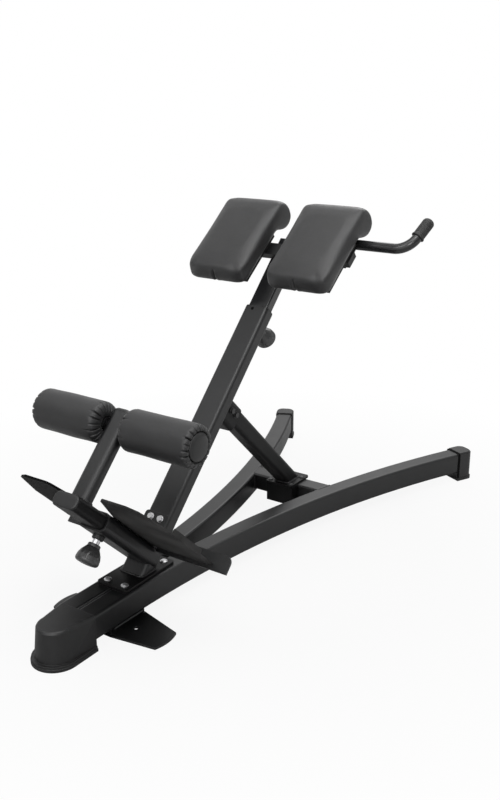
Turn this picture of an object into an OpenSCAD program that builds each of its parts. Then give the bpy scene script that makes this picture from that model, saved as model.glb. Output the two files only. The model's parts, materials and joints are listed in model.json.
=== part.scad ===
// Roman chair: a slanted telescoping post on two spread legs, a brace behind it,
// a foot plate with sliding ankle rollers in front and two hip cushions on top.
// Millimetres. +X runs from the front nose to the spread rear feet, +Z is up.

/* [Legs] */
// width of each leg tube
leg_w = 50; // [40:1:70]
// height of each leg tube
leg_h = 60; // [40:1:80]
// wall of the leg tubes
leg_wall = 2.5; // [1.5:0.5:5]
// outer corner radius of the leg tubes
leg_corner = 7; // [4:1:15]
// space between the two tubes where they run side by side
leg_gap = 1; // [0.5:0.5:10]
// height of the tubes above the floor
leg_clear = 24; // [20:1:60]
// straight run of the tubes behind the front cap
leg_straight = 72; // [40:1:300]
// radius of the sideways sweep
leg_bend_r = 2800; // [1800:10:5000]
// length of the swept run along X
leg_run = 1247; // [1100:1:1500]

/* [Feet] */
// length of the nose ahead of the tubes
cap_nose = 118; // [90:1:160]
// how far the lip runs ahead of the nose wall
cap_front = 5; // [3:1:14]
// width of the lip round the nose on the floor
cap_lip = 3; // [2:0.5:8]
// height of the floor lip
lip_h = 12; // [6:1:20]
// how far the nose wall stands in from the lip's own wall line
cap_step = 4; // [0:0.5:6]
// how far the nose leans in towards its top
cap_draft = 7; // [0:0.5:10]
// length of the plugs in the tubes
plug_len = 40; // [20:1:80]
// wall of the rear caps
cap_wall = 3; // [2:0.5:6]
// how far a rear cap reaches over its tube
cap_cover = 42; // [30:1:90]
// thickness of the rear cap behind its tube
cap_end = 13; // [10:0.5:20]
// width of the recessed neck of a rear cap
cap_neck = 7; // [4:0.5:12]
// flare of the rear caps on the floor
cap_flare = 2; // [0:0.5:6]

/* [Floor plate] */
// thickness of the floor plate
floor_t = 5; // [3:0.5:10]
// front edge of the floor plate behind the nose
floor_x = 171; // [140:1:220]
// length of the floor plate at its root
floor_root = 118; // [80:1:160]
// length of each wing near its tip
floor_tip = 70; // [50:1:120]
// reach of the wings to each side
floor_half = 157; // [130:1:220]
// distance between the two anchor holes
anchor_span = 132; // [120:1:240]
// diameter of the anchor holes
anchor_d = 11; // [8:0.5:16]

/* [Base plate] */
// front edge of the base plate behind the nose
base_x = 222; // [190:1:240]
// length of the base plate
base_len = 171; // [160:1:240]
// width of the base plate
base_w = 87; // [86:1:120]
// thickness of the base plate
base_t = 6; // [4:0.5:12]
// distance between the bolt rows along X
base_bolt_x = 135; // [115:1:150]
// distance between the bolts of a row
base_bolt_y = 50; // [40:1:60]

/* [Post] */
// slope of the post above the floor
post_angle = 45.7; // [35:0.1:60]
// front face of the post on the base plate, behind the nose
post_x = 287.6; // [270:0.1:310]
// width of the post
post_w = 67; // [55:1:80]
// depth of the post
post_d = 38; // [32:1:50]
// wall of the post
post_wall = 3; // [2:0.5:5]
// outer corner radius of the post
post_corner = 9; // [6:1:16]
// length of the post along its front face
post_len = 725.5; // [650:0.5:800]
// wall of the plastic bushes
bush_wall = 2; // [1.5:0.5:4]
// running gap between a bush and what slides in it
slide_gap = 0.3; // [0.1:0.05:0.6]
// length of the post bush
bush_len = 62; // [45:1:90]
// height of the pull pin on the post
pin_z = 689; // [600:1:700]

/* [Brace] */
// where the axis of the brace meets the post
strut_z = 460; // [400:1:500]
// height of the brace section
strut_h = 44; // [36:1:54]
// width of the brace section
strut_w = 46; // [36:1:60]
// wall of the brace
strut_wall = 2.5; // [1.5:0.5:5]
// height of the socket along the post
socket_h = 64; // [62:1:90]
// reach of the socket behind the post
socket_len = 57; // [40:1:90]
// wall of the socket
socket_wall = 3.5; // [2:0.5:6]
// length of the flange under the brace
flange_len = 96; // [90:1:140]
// width of the flange
flange_w = 82; // [76:1:110]
// thickness of the flange
flange_t = 6; // [4:0.5:12]
// front face of the cross member behind the nose
cross_x = 933; // [920:1:950]
// depth of the cross member along X
cross_d = 51; // [40:1:60]
// height of the cross member
cross_h = 48; // [40:1:60]
// depth of the seat box ahead of the cross member
seat_d = 27; // [24:1:50]

/* [Foot rest] */
// height of the foot tube axis along the post
foot_z = 53.4; // [50:0.1:70]
// width of the foot tube
foot_w = 78; // [72:1:90]
// height of the foot tube
foot_h = 44; // [42:1:56]
// wall of the foot tube
foot_wall = 3; // [2:0.5:5]
// reach of the foot tube ahead of the post
foot_len = 196; // [180:1:220]
// how far the foot tube wraps the post
foot_wrap = 24; // [10:1:32]
// distance of the pull pin from the mouth
foot_pin_back = 36; // [30:1:50]
// thickness of the foot plate
plate_t = 5; // [3:0.5:8]
// half width of the foot plate
plate_half = 197; // [150:1:240]
// reach of the foot plate ahead of the post
plate_len = 298; // [270:1:330]
// where the sides of the foot plate turn inward
plate_side = 190; // [150:1:230]
// half width of the foot plate at its front corners
plate_tip = 165; // [120:1:190]
// half width of the notch at the front edge
notch_half = 74; // [50:1:100]
// depth where the notch ends
notch_in = 142; // [135:1:170]
// height of the lip on the sides of the foot plate
plate_lip = 9; // [6:0.5:20]
// half width of the toe stop
stop_half = 235; // [200:1:260]
// lower edge of the toe stop along the post
stop_low = 66; // [55:1:75]
// upper edge of the toe stop ears
stop_high = 106.5; // [95:0.5:130]
// upper edge of the toe stop tab
stop_tab = 152.5; // [135:0.5:180]

/* [Rollers] */
// reach of the slide bar ahead of the post
bar_len = 303; // [295:1:330]
// rear end of the slide bar ahead of the post
bar_rear = 60; // [30:1:80]
// wall of the slide bar
bar_wall = 2.5; // [1.5:0.5:5]
// distance of the roller axis ahead of the post
roller_t = 263; // [255:1:280]
// height of the roller axis along the post
roller_z = 246.4; // [200:0.1:300]
// width of the roller post
rpost_w = 50; // [40:1:60]
// depth of the roller post
rpost_d = 32; // [28:1:40]
// height of the roller post above the roller axis
rpost_top = 30; // [20:1:60]
// diameter of the rollers
roller_d = 95; // [80:1:120]
// length of each roller
roller_len = 189.5; // [150:0.5:220]
// free space between the rollers
roller_gap = 60; // [58:1:90]
// diameter of the roller shaft
shaft_d = 20; // [16:1:25]
// running gap round the roller shaft
shaft_gap = 0.05; // [0.02:0.01:0.09]
// wall of the roller cores
core_wall = 4; // [2:0.5:6]
// diameter of the end discs
disc_d = 74; // [50:1:76]

/* [Pull pins] */
// diameter of the plungers
plunger_d = 12; // [8:0.5:14]
// distance between pin holes
pin_pitch = 25; // [20:1:40]
// depth of the plunger nose in a hole
pin_engage = 9; // [6:0.5:12]
// length of the barrels
barrel_len = 34; // [30:1:50]
// diameter of the barrels
barrel_d = 17; // [16:0.5:22]
// diameter of the welded bosses
boss_d = 27; // [24:1:40]
// height of the welded bosses
boss_h = 10; // [6:0.5:12]
// diameter of the knob rim
knob_d = 54; // [40:1:60]
// diameter of the knob neck
knob_neck = 29; // [26:1:36]
// length of the knobs
knob_len = 46; // [42:1:60]
// number of flutes on each knob
knob_flutes = 6; // [4:1:10]

/* [Head] */
// lower end of the inner tube along the post
inner_low = 400; // [380:1:480]
// upper end of the inner tube along the post
inner_high = 934; // [925:1:960]
// wall of the inner tube
inner_wall = 2.5; // [1.5:0.5:5]
// diameter of the handle tube
handle_d = 25.4; // [20:0.1:32]
// wall of the handle tube
handle_wall = 2.5; // [1.5:0.5:4]
// reach of the straight handle run to the right
handle_half = 288; // [250:1:330]
// bend radius of the handle
handle_bend_r = 50; // [40:1:90]
// bend angle of the handle
handle_bend = 74; // [60:1:85]
// length of the straight handle ends
handle_end = 52; // [50:1:120]
// diameter of the grips
grip_d = 30; // [28:0.5:40]

/* [Cushions] */
// width of each cushion
pad_w = 185; // [150:1:210]
// free space between the cushions
pad_gap = 54; // [40:1:80]
// thickness of the cushions
pad_t = 46; // [40:1:60]
// tilt of the cushions against the post
pad_tilt = 7.5; // [5:0.1:9]
// height of the cushions along the post
pad_z = 863.4; // [860:0.1:880]
// distance of the cushions ahead of the post
pad_x = 20.3; // [20:0.1:24]
// lower end of the cushions below their middle
pad_low = 108; // [100:1:125]
// distance of the rolled nose above the middle
nose_p = 132; // [130:1:145]
// radius of the rolled nose
nose_r = 38; // [34:0.5:40]
// rounding of the cushion sides
pad_edge = 13; // [8:0.5:13.5]
// rounding of the lower face edge
pad_face_r = 16; // [14:0.5:18]
// crown of the cushion face
pad_crown = 4; // [0:0.5:8]
// how far the cushion sides draw in
pad_draw = 2.5; // [0:0.25:5]
// thickness of the boards under the cushions
board_t = 9; // [6:0.5:12]
// how far the boards stay inside the cushions
board_inset = 14; // [8:1:30]
// width of the carrier channel
carrier_w = 38; // [36:1:56]
// height of the carrier channel
carrier_h = 17; // [14:0.5:22]
// wall of the carrier channel
carrier_wall = 3; // [2:0.5:5]
// half length of the carrier channel
carrier_half = 203; // [180:1:212]

/* [Fits] */
// clearance of bolts in their holes
hole_gap = 0.3; // [0.1:0.05:0.6]
// clearance of plugs and sockets
plug_gap = 0.25; // [0.1:0.05:0.5]
// clearance between soft and hard pieces
soft_gap = 0.35; // [0.2:0.05:0.8]

/* [Hidden] */
$fn = 48;
leg_top = leg_clear + leg_h;
leg_mid = leg_clear + leg_h / 2;
leg_y = (leg_w + leg_gap) / 2;
bend_x = cap_nose + leg_straight;
sweep = asin(leg_run / leg_bend_r);
end_x = bend_x + leg_run;
end_y = leg_y + leg_bend_r * (1 - cos(sweep));
cap_r = 18;
cap_half = leg_w / 2 + cap_wall;
pair_half = leg_w + leg_gap / 2;
reach_a = (cap_end + cap_flare - cap_r) * cos(sweep);
reach_b = (cap_half + cap_flare - cap_r) * sin(sweep);
total_len = end_x + reach_a + reach_b + cap_r + cap_front;
front = cap_front - total_len / 2;
foot_a = (cap_end + cap_flare - cap_r) * sin(sweep);
foot_b = (cap_half + cap_flare - cap_r) * cos(sweep);
foot_reach = end_y + foot_a + foot_b + cap_r;
tip_r = grip_d / 2 - 5;
tip_reach = handle_half + (handle_bend_r + tip_r) * sin(handle_bend) + handle_end * cos(handle_bend) + 5;
side = (max(tip_reach, foot_reach) - foot_reach) / 2;
base_top = leg_top + base_t;
flange_top = leg_top + flange_t;
slide_wall = post_wall + bush_wall + slide_gap;
inner_w = post_w - 2 * slide_wall;
inner_d = post_d - 2 * slide_wall;
inner_r = post_corner - post_wall;
foot_slide = foot_wall + bush_wall + slide_gap;
bar_w = foot_w - 2 * foot_slide;
bar_h = foot_h - 2 * foot_slide;
foot_corner = 16;
bar_corner = foot_corner - foot_wall;
foot_pin_t = foot_len - foot_pin_back;
foot_low = foot_z - foot_h / 2;
foot_top = foot_z + foot_h / 2;
collar = 2.5;
stop_t = 5.2;
pin_clear = 0.3;
stem_r = 4;
nose_len = 22;
socket_z = strut_z + strut_h / 2 + plug_gap + socket_wall - socket_h / 2;
socket_w = strut_w + 2 * (socket_wall + plug_gap);
flange_x = cross_x + cross_d - flange_len + 12;
shaft_r = shaft_d / 2;
core_r = shaft_r + shaft_gap + core_wall;
roller_in = roller_gap / 2;
lid_t = 3;
handle_z = inner_high + lid_t + handle_d / 2;
handle_x = post_d / 2;
pad_mid = (pad_gap + pad_w) / 2;
carrier_p = 14;
tie_len = 1.9 * carrier_w;
bolt_r = 5;
small_r = 4;

// frames

module from_front() {
  translate([front, side, 0]) children();
}

// z runs up the post, x runs out of its rear face
module on_post() {
  from_front() translate([post_x, 0, base_top]) rotate([0, 90 - post_angle, 0]) children();
}

// z runs forward along the foot tube, x runs up the post
module along_foot(t) {
  on_post() translate([-t, 0, foot_z]) rotate([0, -90, 0]) children();
}

// z runs out of the pin
module post_pin_axis() {
  on_post() translate([post_d, 0, pin_z]) rotate([0, 90, 0]) children();
}

module foot_pin_axis() {
  on_post() translate([-foot_pin_t, 0, foot_low]) rotate([180, 0, 0]) children();
}

// z runs along the rollers to the left
module on_roller() {
  on_post() translate([-roller_t, 0, roller_z]) rotate([-90, 0, 0]) children();
}

// x runs up the cushion, y across, z out of its face
module on_pad() {
  on_post() translate([-pad_x, 0, pad_z]) rotate([0, pad_tilt - 90, 0]) children();
}

module both_sides() {
  children();
  mirror([0, 1, 0]) children();
}

// sections

module rounded_rect(w, h, r) {
  square([w - 2 * r, h], center = true);
  square([w, h - 2 * r], center = true);
  for (x = [-1, 1], y = [-1, 1]) {
    translate([x * (w / 2 - r), y * (h / 2 - r)]) circle(r);
  }
}

module tube_section(w, h, r, wall) {
  difference() {
    rounded_rect(w, h, r);
    rounded_rect(w - 2 * wall, h - 2 * wall, max(r - wall, 1));
  }
}

module ring_section(d, wall) {
  difference() {
    circle(d / 2);
    circle(d / 2 - wall);
  }
}

// fasteners, head on z = 0 and shank below

module domed_bolt(r, len) {
  translate([0, 0, -len]) cylinder(r = r, h = len + 0.5);
  cylinder(r = 1.75 * r, h = 0.4 * r);
  translate([0, 0, 0.4 * r]) cylinder(r1 = 1.75 * r, r2 = 1.1 * r, h = 0.45 * r);
}

module hex_bolt(r, len) {
  translate([0, 0, -len]) cylinder(r = r, h = len + 0.5);
  cylinder(r = 2.1 * r, h = 0.3 * r);
  translate([0, 0, 0.3 * r]) cylinder(r = 1.8 * r, h = 1.1 * r, $fn = 6);
}

// legs and feet

module leg_run_of() {
  translate([cap_nose, leg_y, leg_mid]) rotate([90, 0, 90]) linear_extrude(leg_straight) children();
  translate([bend_x, leg_y + leg_bend_r, leg_mid]) rotate([0, 0, -90])
    rotate_extrude(angle = sweep, $fn = 360) translate([leg_bend_r, 0]) children();
}

module leg_envelope() {
  leg_run_of() rounded_rect(leg_w, leg_h, leg_corner);
}

module base_bolt_places() {
  for (x = [-1, 1], y = [-1, 1]) {
    translate([base_x + base_len / 2 + x * base_bolt_x / 2, y * base_bolt_y / 2, base_top]) children();
  }
}

module leg() {
  difference() {
    leg_run_of() tube_section(leg_w, leg_h, leg_corner, leg_wall);
    base_bolt_places() translate([0, 0, -leg_h / 2]) cylinder(r = bolt_r + hole_gap, h = leg_h);
  }
}

module leg_left() {
  color([0.16, 0.16, 0.17]) from_front() leg();
}

module leg_right() {
  color([0.16, 0.16, 0.17]) from_front() mirror([0, 1, 0]) leg();
}

module nose_side(half) {
  polygon([[0, lip_h], [half, lip_h], [half - cap_draft, leg_top - 5], [half - cap_draft - 2, leg_top - 1.5],
    [half - cap_draft - 5, leg_top], [0, leg_top]]);
}

module cap_section(half, lean) {
  for (m = [0, 1]) mirror([m, 0]) polygon([[0, lip_h - 1], [half, lip_h - 1], [half - lean, leg_top - 6],
    [half - lean - 2, leg_top - 2], [half - lean - 6, leg_top], [0, leg_top]]);
}

module lip_step(r, low, high) {
  lip_x = pair_half + 0.5 + cap_lip - cap_front;
  intersection() {
    translate([lip_x, 0, low]) cylinder(r = r, h = high - low, $fn = 96);
    translate([lip_x - r, -r, 0]) cube([r, 2 * r, leg_top]);
  }
  translate([lip_x - 0.5, -r, low]) cube([cap_nose - lip_x + 0.5, 2 * r, high - low]);
}

module front_cap() {
  half = pair_half + 0.5;
  color([0.07, 0.07, 0.08]) from_front() {
    lip_step(half + cap_lip, 0, lip_h * 0.55);
    lip_step(half + cap_lip - 1.6, lip_h * 0.55 - 0.5, lip_h);
    intersection() {
      translate([half, 0, 0]) rotate_extrude($fn = 96) nose_side(half - cap_step);
      translate([0, -half, 0]) cube([half, 2 * half, leg_top]);
    }
    hull() {
      translate([half - 0.5, 0, 0]) rotate([90, 0, 90]) linear_extrude(0.5) cap_section(half - cap_step, cap_draft);
      translate([cap_nose - 0.5, 0, 0]) rotate([90, 0, 90]) linear_extrude(0.5) cap_section(half - 0.5, 0);
    }
    both_sides() translate([cap_nose - 0.5, leg_y, leg_mid]) rotate([90, 0, 90]) linear_extrude(plug_len)
      rounded_rect(leg_w - 2 * (leg_wall + plug_gap), leg_h - 2 * (leg_wall + plug_gap), leg_corner - leg_wall);
  }
}

// plan of a rear cap, square towards the leg and rounded behind
module cap_outline(grow, from) {
  half = cap_half + grow;
  end = cap_end + grow;
  translate([from - grow, -half]) square([end - cap_r - from + grow, 2 * half]);
  translate([from - grow, -half + cap_r]) square([end - from + grow, 2 * (half - cap_r)]);
  for (y = [-1, 1]) translate([end - cap_r, y * (half - cap_r)]) circle(cap_r, $fn = 64);
}

module rear_cap() {
  top = leg_top + cap_wall;
  full = cap_neck - cap_cover;
  neck = cap_half - 2;
  difference() {
    translate([end_x, end_y, 0]) rotate([0, 0, sweep]) {
      linear_extrude(8) cap_outline(cap_flare, cap_flare - cap_cover);
      translate([0, 0, 8]) linear_extrude(top - 12) cap_outline(0, full);
      translate([0, 0, top - 4]) linear_extrude(2) cap_outline(-1, full - 1);
      translate([0, 0, top - 2]) linear_extrude(2) cap_outline(-3, full - 3);
      translate([-cap_cover, -neck, 0]) cube([cap_neck + 1, 2 * neck, top - 2]);
    }
    translate([bend_x, leg_y + leg_bend_r, leg_mid]) rotate([0, 0, -90])
      rotate_extrude(angle = sweep, $fn = 360) translate([leg_bend_r, 0])
        rounded_rect(leg_w + 2 * plug_gap, leg_h + 2 * plug_gap, leg_corner);
  }
}

module rear_cap_left() {
  color([0.07, 0.07, 0.08]) from_front() rear_cap();
}

module rear_cap_right() {
  color([0.07, 0.07, 0.08]) from_front() mirror([0, 1, 0]) rear_cap();
}

module floor_plate() {
  mid_x = floor_x + floor_root / 2 - 6;
  tip_r = 105;
  color([0.14, 0.14, 0.15]) from_front() {
    difference() {
      both_sides() linear_extrude(floor_t) intersection() {
        polygon([[floor_x, -1], [floor_x, 38], [mid_x - floor_tip / 2, floor_half], [mid_x + floor_tip / 2, floor_half],
          [floor_x + floor_root, 38], [floor_x + floor_root, -1]]);
        union() {
          translate([mid_x, floor_half - tip_r]) circle(tip_r, $fn = 128);
          translate([floor_x, -1]) square([floor_root, floor_half - tip_r]);
        }
      }
      both_sides() translate([mid_x + 1, anchor_span / 2, -1]) cylinder(d = anchor_d, h = floor_t + 2);
    }
    for (x = [floor_x + 3, floor_x + floor_root - 8]) {
      translate([x, -38, floor_t]) cube([5, 76, leg_clear - floor_t]);
    }
  }
}

module cross_member() {
  half = leg_y + leg_bend_r * (1 - cos(asin((cross_x + cross_d / 2 - bend_x) / leg_bend_r)));
  color([0.14, 0.14, 0.15]) from_front() difference() {
    translate([cross_x + cross_d / 2, half, leg_top - cross_h / 2]) rotate([90, 0, 0])
      linear_extrude(2 * half) tube_section(cross_d, cross_h, 6, 2.5);
    both_sides() leg_envelope();
    flange_bolt_places() translate([0, 0, -18]) cylinder(r = small_r + hole_gap, h = 20);
  }
}

module strut_seat() {
  half = flange_w / 2;
  low = leg_top - cross_h - 6;
  color([0.13, 0.13, 0.14]) from_front() difference() {
    translate([cross_x - seat_d, -half, low]) cube([seat_d, 2 * half, leg_top - low]);
    translate([cross_x - seat_d + 4, -half + 4, low - 1]) cube([seat_d, 2 * half - 8, leg_top - low - 3]);
    flange_bolt_places() translate([0, 0, -18]) cylinder(r = small_r + hole_gap, h = 20);
  }
}

module base_plate() {
  color([0.15, 0.15, 0.16]) from_front() difference() {
    translate([base_x + base_len / 2, 0, leg_top]) linear_extrude(base_t) rounded_rect(base_len, base_w, 8);
    base_bolt_places() translate([0, 0, -base_t - 1]) cylinder(r = bolt_r + hole_gap, h = base_t + 2);
  }
}

module base_bolts() {
  color([0.75, 0.75, 0.77]) from_front() base_bolt_places() domed_bolt(bolt_r, 16);
}

// post and brace

module post_envelope(len) {
  translate([post_d / 2, 0, 0]) linear_extrude(len) rounded_rect(post_d, post_w, post_corner);
}

module post() {
  low = 60;
  color([0.15, 0.15, 0.16]) difference() {
    on_post() difference() {
      translate([post_d / 2, 0, -low]) linear_extrude(post_len + low)
        tube_section(post_d, post_w, post_corner, post_wall);
      translate([post_d / 2, 0, pin_z]) rotate([0, 90, 0]) cylinder(r = plunger_d / 2 + hole_gap, h = post_d);
      translate([-1, 8, post_len - 7]) rotate([0, 90, 0]) cylinder(r = 2 + hole_gap, h = 6);
      for (y = [-14, 14]) {
        translate([-1, y, stop_tab - 14]) rotate([0, 90, 0]) cylinder(r = small_r + hole_gap, h = 6);
      }
    }
    from_front() translate([post_x - 100, -60, base_top - 100]) cube([200, 120, 100]);
  }
}

module post_bush() {
  color([0.05, 0.05, 0.06]) on_post() difference() {
    translate([post_d / 2, 0, 0]) {
      translate([0, 0, post_len - bush_len]) linear_extrude(bush_len)
        tube_section(post_d - 2 * post_wall - 0.1, post_w - 2 * post_wall - 0.1, inner_r, bush_wall - 0.05);
      translate([0, 0, post_len]) linear_extrude(collar)
        tube_section(post_d - 1, post_w - 1, post_corner, post_wall + bush_wall - 0.5);
    }
    translate([post_d / 2, 0, pin_z]) rotate([0, 90, 0]) cylinder(r = plunger_d / 2 + hole_gap, h = post_d);
    translate([-1, 8, post_len - 7]) rotate([0, 90, 0]) cylinder(r = 2 + hole_gap, h = 6);
  }
}

module bush_screw() {
  color([0.1, 0.1, 0.1]) on_post() translate([0, 8, post_len - 7]) rotate([0, -90, 0]) {
    translate([0, 0, -4.8]) cylinder(r = 2, h = 5);
    cylinder(r1 = 4, r2 = 2.8, h = 1.8);
  }
}

module bracket_bolt_places() {
  for (x = [18, 40]) {
    on_post() translate([post_d + x, 0, strut_z]) rotate([-90, 0, 0]) children();
  }
}

module strut() {
  color([0.13, 0.13, 0.14]) difference() {
    on_post() translate([post_d + 3, 0, strut_z]) rotate([0, 90, 0]) linear_extrude(540)
      tube_section(strut_h, strut_w, 10, strut_wall);
    from_front() translate([flange_x - 100, -60, flange_top - 200]) cube([300, 120, 200]);
    bracket_bolt_places() cylinder(r = small_r + hole_gap, h = 2 * socket_w, center = true);
  }
}

module strut_bracket() {
  color([0.15, 0.15, 0.16]) difference() {
    on_post() translate([post_d, 0, socket_z]) rotate([0, 90, 0]) linear_extrude(socket_len)
      tube_section(socket_h, socket_w, 12, socket_wall);
    bracket_bolt_places() cylinder(r = small_r + hole_gap, h = 2 * socket_w, center = true);
  }
}

module bracket_bolts() {
  color([0.1, 0.1, 0.1]) bracket_bolt_places() {
    translate([0, 0, socket_w / 2]) hex_bolt(small_r, socket_w);
    mirror([0, 0, 1]) translate([0, 0, socket_w / 2]) hex_bolt(small_r, 1);
  }
}

module flange_bolt_places() {
  for (x = [12, flange_len - 24], y = [-1, 1]) {
    translate([flange_x + x, y * (flange_w / 2 - 9), flange_top]) children();
  }
}

module strut_flange() {
  color([0.14, 0.14, 0.15]) from_front() difference() {
    translate([flange_x + flange_len / 2, 0, leg_top]) linear_extrude(flange_t) rounded_rect(flange_len, flange_w, 6);
    flange_bolt_places() translate([0, 0, -flange_t - 1]) cylinder(r = small_r + hole_gap, h = flange_t + 2);
  }
}

module flange_bolts() {
  color([0.1, 0.1, 0.1]) from_front() flange_bolt_places() domed_bolt(small_r, 14);
}

// pull pins, z = 0 on the outside of the tube they lock

module pin_boss() {
  difference() {
    union() {
      cylinder(d = boss_d, h = boss_h - 2);
      translate([0, 0, boss_h - 2]) cylinder(d1 = boss_d, d2 = boss_d - 4, h = 2);
    }
    translate([0, 0, -1]) cylinder(d = barrel_d + 0.2, h = boss_h + 2);
  }
}

module pin_barrel() {
  difference() {
    cylinder(d = barrel_d, h = barrel_len);
    translate([0, 0, -1]) cylinder(r = plunger_d / 2 + 0.05, h = barrel_len - 3);
    cylinder(r = stem_r + 0.05, h = barrel_len + 1);
  }
}

module pin_plunger(wall) {
  tip = pin_clear - wall;
  translate([0, 0, tip]) cylinder(r1 = plunger_d / 2 - 1, r2 = plunger_d / 2, h = 1.5);
  translate([0, 0, tip + 1.5]) cylinder(r = plunger_d / 2, h = nose_len - 1.5);
  translate([0, 0, tip + nose_len]) cylinder(r = stem_r, h = 58 - tip - nose_len);
}

function coil_point(r, wire, rise, turns, k, i, steps) =
  let (a = 360 * turns * k / steps)
  let (q = r + wire * cos(60 * i))
  [q * cos(a), q * sin(a), rise * k / steps + wire * sin(60 * i)];

// coil of round wire, six flats round the wire
module coil(r, wire, rise, turns) {
  steps = 16 * turns;
  points = [for (k = [0:steps], i = [0:5]) coil_point(r, wire, rise, turns, k, i, steps)];
  walls = [for (k = [0:steps - 1], i = [0:5]) let (j = (i + 1) % 6) [6 * k + i, 6 * k + 6 + i, 6 * k + 6 + j, 6 * k + j]];
  near = [for (i = [0:5]) i];
  far = [for (i = [0:5]) 6 * steps + 5 - i];
  polyhedron(points, concat(walls, [near], [far]), convexity = 12);
}

module pin_spring(wall) {
  wire = 0.6;
  low = pin_clear - wall + nose_len + 3.4 + wire;
  translate([0, 0, low]) coil(stem_r + 1, wire, barrel_len - 4.4 - wire - low, 4);
}

module pin_knob() {
  low = boss_h + pin_engage + 1;
  neck = knob_neck / 2;
  rim = knob_d / 2;
  translate([0, 0, low]) difference() {
    rotate_extrude($fn = 64) difference() {
      union() {
        polygon([[0, 0], [neck - 2, 0], [neck, 2], [neck, 7], [rim - 8.5, 13], [rim - 4, 20], [rim - 1, 28],
          [rim, knob_len - 10], [rim - 6, knob_len - 3], [rim - 12, knob_len], [0, knob_len]]);
        translate([rim - 7, knob_len - 8]) circle(7);
      }
      translate([-100, -50]) square([100, 200]);
    }
    translate([0, 0, -1]) cylinder(d = barrel_d + 1, h = barrel_len - low + pin_engage + 3);
    cylinder(r = stem_r + 0.05, h = 58 - low + 0.5);
    for (i = [0:knob_flutes - 1]) {
      rotate([0, 0, (i + 0.5) * 360 / knob_flutes]) translate([rim + 5, 0, 12]) rotate([0, 8, 0])
        cylinder(r = 9, h = knob_len + 8);
    }
  }
}

module post_boss() {
  color([0.15, 0.15, 0.16]) post_pin_axis() pin_boss();
}

module post_barrel() {
  color([0.8, 0.8, 0.82]) post_pin_axis() pin_barrel();
}

module post_spring() {
  color([0.7, 0.7, 0.72]) post_pin_axis() pin_spring(slide_wall);
}

module post_plunger() {
  color([0.8, 0.8, 0.82]) post_pin_axis() pin_plunger(slide_wall);
}

module post_knob() {
  color([0.03, 0.03, 0.03]) post_pin_axis() pin_knob();
}

module foot_boss() {
  color([0.15, 0.15, 0.16]) foot_pin_axis() pin_boss();
}

module foot_barrel() {
  color([0.8, 0.8, 0.82]) foot_pin_axis() pin_barrel();
}

module foot_spring() {
  color([0.7, 0.7, 0.72]) foot_pin_axis() pin_spring(foot_slide);
}

module foot_plunger() {
  color([0.8, 0.8, 0.82]) foot_pin_axis() pin_plunger(foot_slide);
}

module foot_knob() {
  color([0.03, 0.03, 0.03]) foot_pin_axis() pin_knob();
}

// foot rest

module foot_tube() {
  color([0.15, 0.15, 0.16]) difference() {
    along_foot(-foot_wrap) linear_extrude(foot_len + foot_wrap)
      tube_section(foot_h, foot_w, foot_corner, foot_wall);
    on_post() translate([0, 0, -60]) post_envelope(300);
    foot_pin_axis() translate([0, 0, -foot_wall - 2]) cylinder(r = plunger_d / 2 + hole_gap, h = foot_wall + 4);
    plate_bolt_places() translate([0, 0, -20]) cylinder(r = small_r + hole_gap, h = 22);
  }
}

module foot_bush() {
  len = 60;
  color([0.05, 0.05, 0.06]) difference() {
    union() {
      along_foot(foot_len - len) linear_extrude(len)
        tube_section(foot_h - 2 * foot_wall - 0.1, foot_w - 2 * foot_wall - 0.1, bar_corner, bush_wall - 0.05);
      along_foot(foot_len) linear_extrude(collar + 1.5)
        tube_section(foot_h, foot_w, foot_corner, foot_wall + bush_wall);
    }
    foot_pin_axis() translate([0, 0, -foot_slide - 2]) cylinder(r = plunger_d / 2 + hole_gap, h = foot_slide + 4);
  }
}

module plate_bolt_places() {
  for (t = [118, 92]) {
    on_post() translate([-t, 0, foot_top + plate_t]) children();
  }
}

module plate_half_outline() {
  difference() {
    polygon([[stop_t, 0], [stop_t, plate_half - 4], [stop_t + 60, plate_half], [plate_side, plate_half],
      [plate_len - 14, plate_tip], [plate_len, plate_tip - 24], [plate_len, 0]]);
    polygon([[notch_in + 24, -1], [notch_in + 24, 22], [plate_len - 8, notch_half - 4],
      [plate_len + 1, notch_half + 6], [plate_len + 1, -1]]);
    translate([notch_in + 18, 0]) circle(18);
  }
}

module foot_plate() {
  color([0.16, 0.16, 0.17]) on_post() difference() {
    both_sides() {
      translate([0, 0, foot_top]) mirror([1, 0, 0]) linear_extrude(plate_t) plate_half_outline();
      translate([-plate_side, plate_half - 4, foot_top]) cube([plate_side - 70, 4, plate_t + plate_lip]);
    }
    for (t = [118, 92]) {
      translate([-t, 0, foot_top - 1]) cylinder(r = small_r + hole_gap, h = plate_t + 2);
    }
  }
}

module foot_plate_bolts() {
  color([0.75, 0.75, 0.77]) plate_bolt_places() domed_bolt(small_r, plate_t + foot_wall - 0.4);
}

module toe_stop() {
  ear_r = 16;
  color([0.16, 0.16, 0.17]) on_post() rotate([0, -90, 0]) difference() {
    linear_extrude(5) difference() {
      union() {
        translate([stop_low, -stop_half + ear_r]) square([stop_high - stop_low, 2 * (stop_half - ear_r)]);
        translate([stop_low, -stop_half]) square([stop_high - stop_low - ear_r, 2 * stop_half]);
        for (y = [-1, 1]) translate([stop_high - ear_r, y * (stop_half - ear_r)]) circle(ear_r);
        translate([stop_low, -post_w / 2]) square([stop_tab - stop_low - 8, post_w]);
        translate([stop_low, -post_w / 2 + 8]) square([stop_tab - stop_low, post_w - 16]);
        for (y = [-1, 1]) translate([stop_tab - 8, y * (post_w / 2 - 8)]) circle(8);
      }
      translate([stop_low - 1, -foot_w / 2 - 0.3]) square([foot_top + 0.3 - stop_low + 1, foot_w + 0.6]);
    }
    for (y = [-14, 14]) {
      translate([stop_tab - 14, y, -1]) cylinder(r = small_r + hole_gap, h = 8);
    }
  }
}

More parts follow.
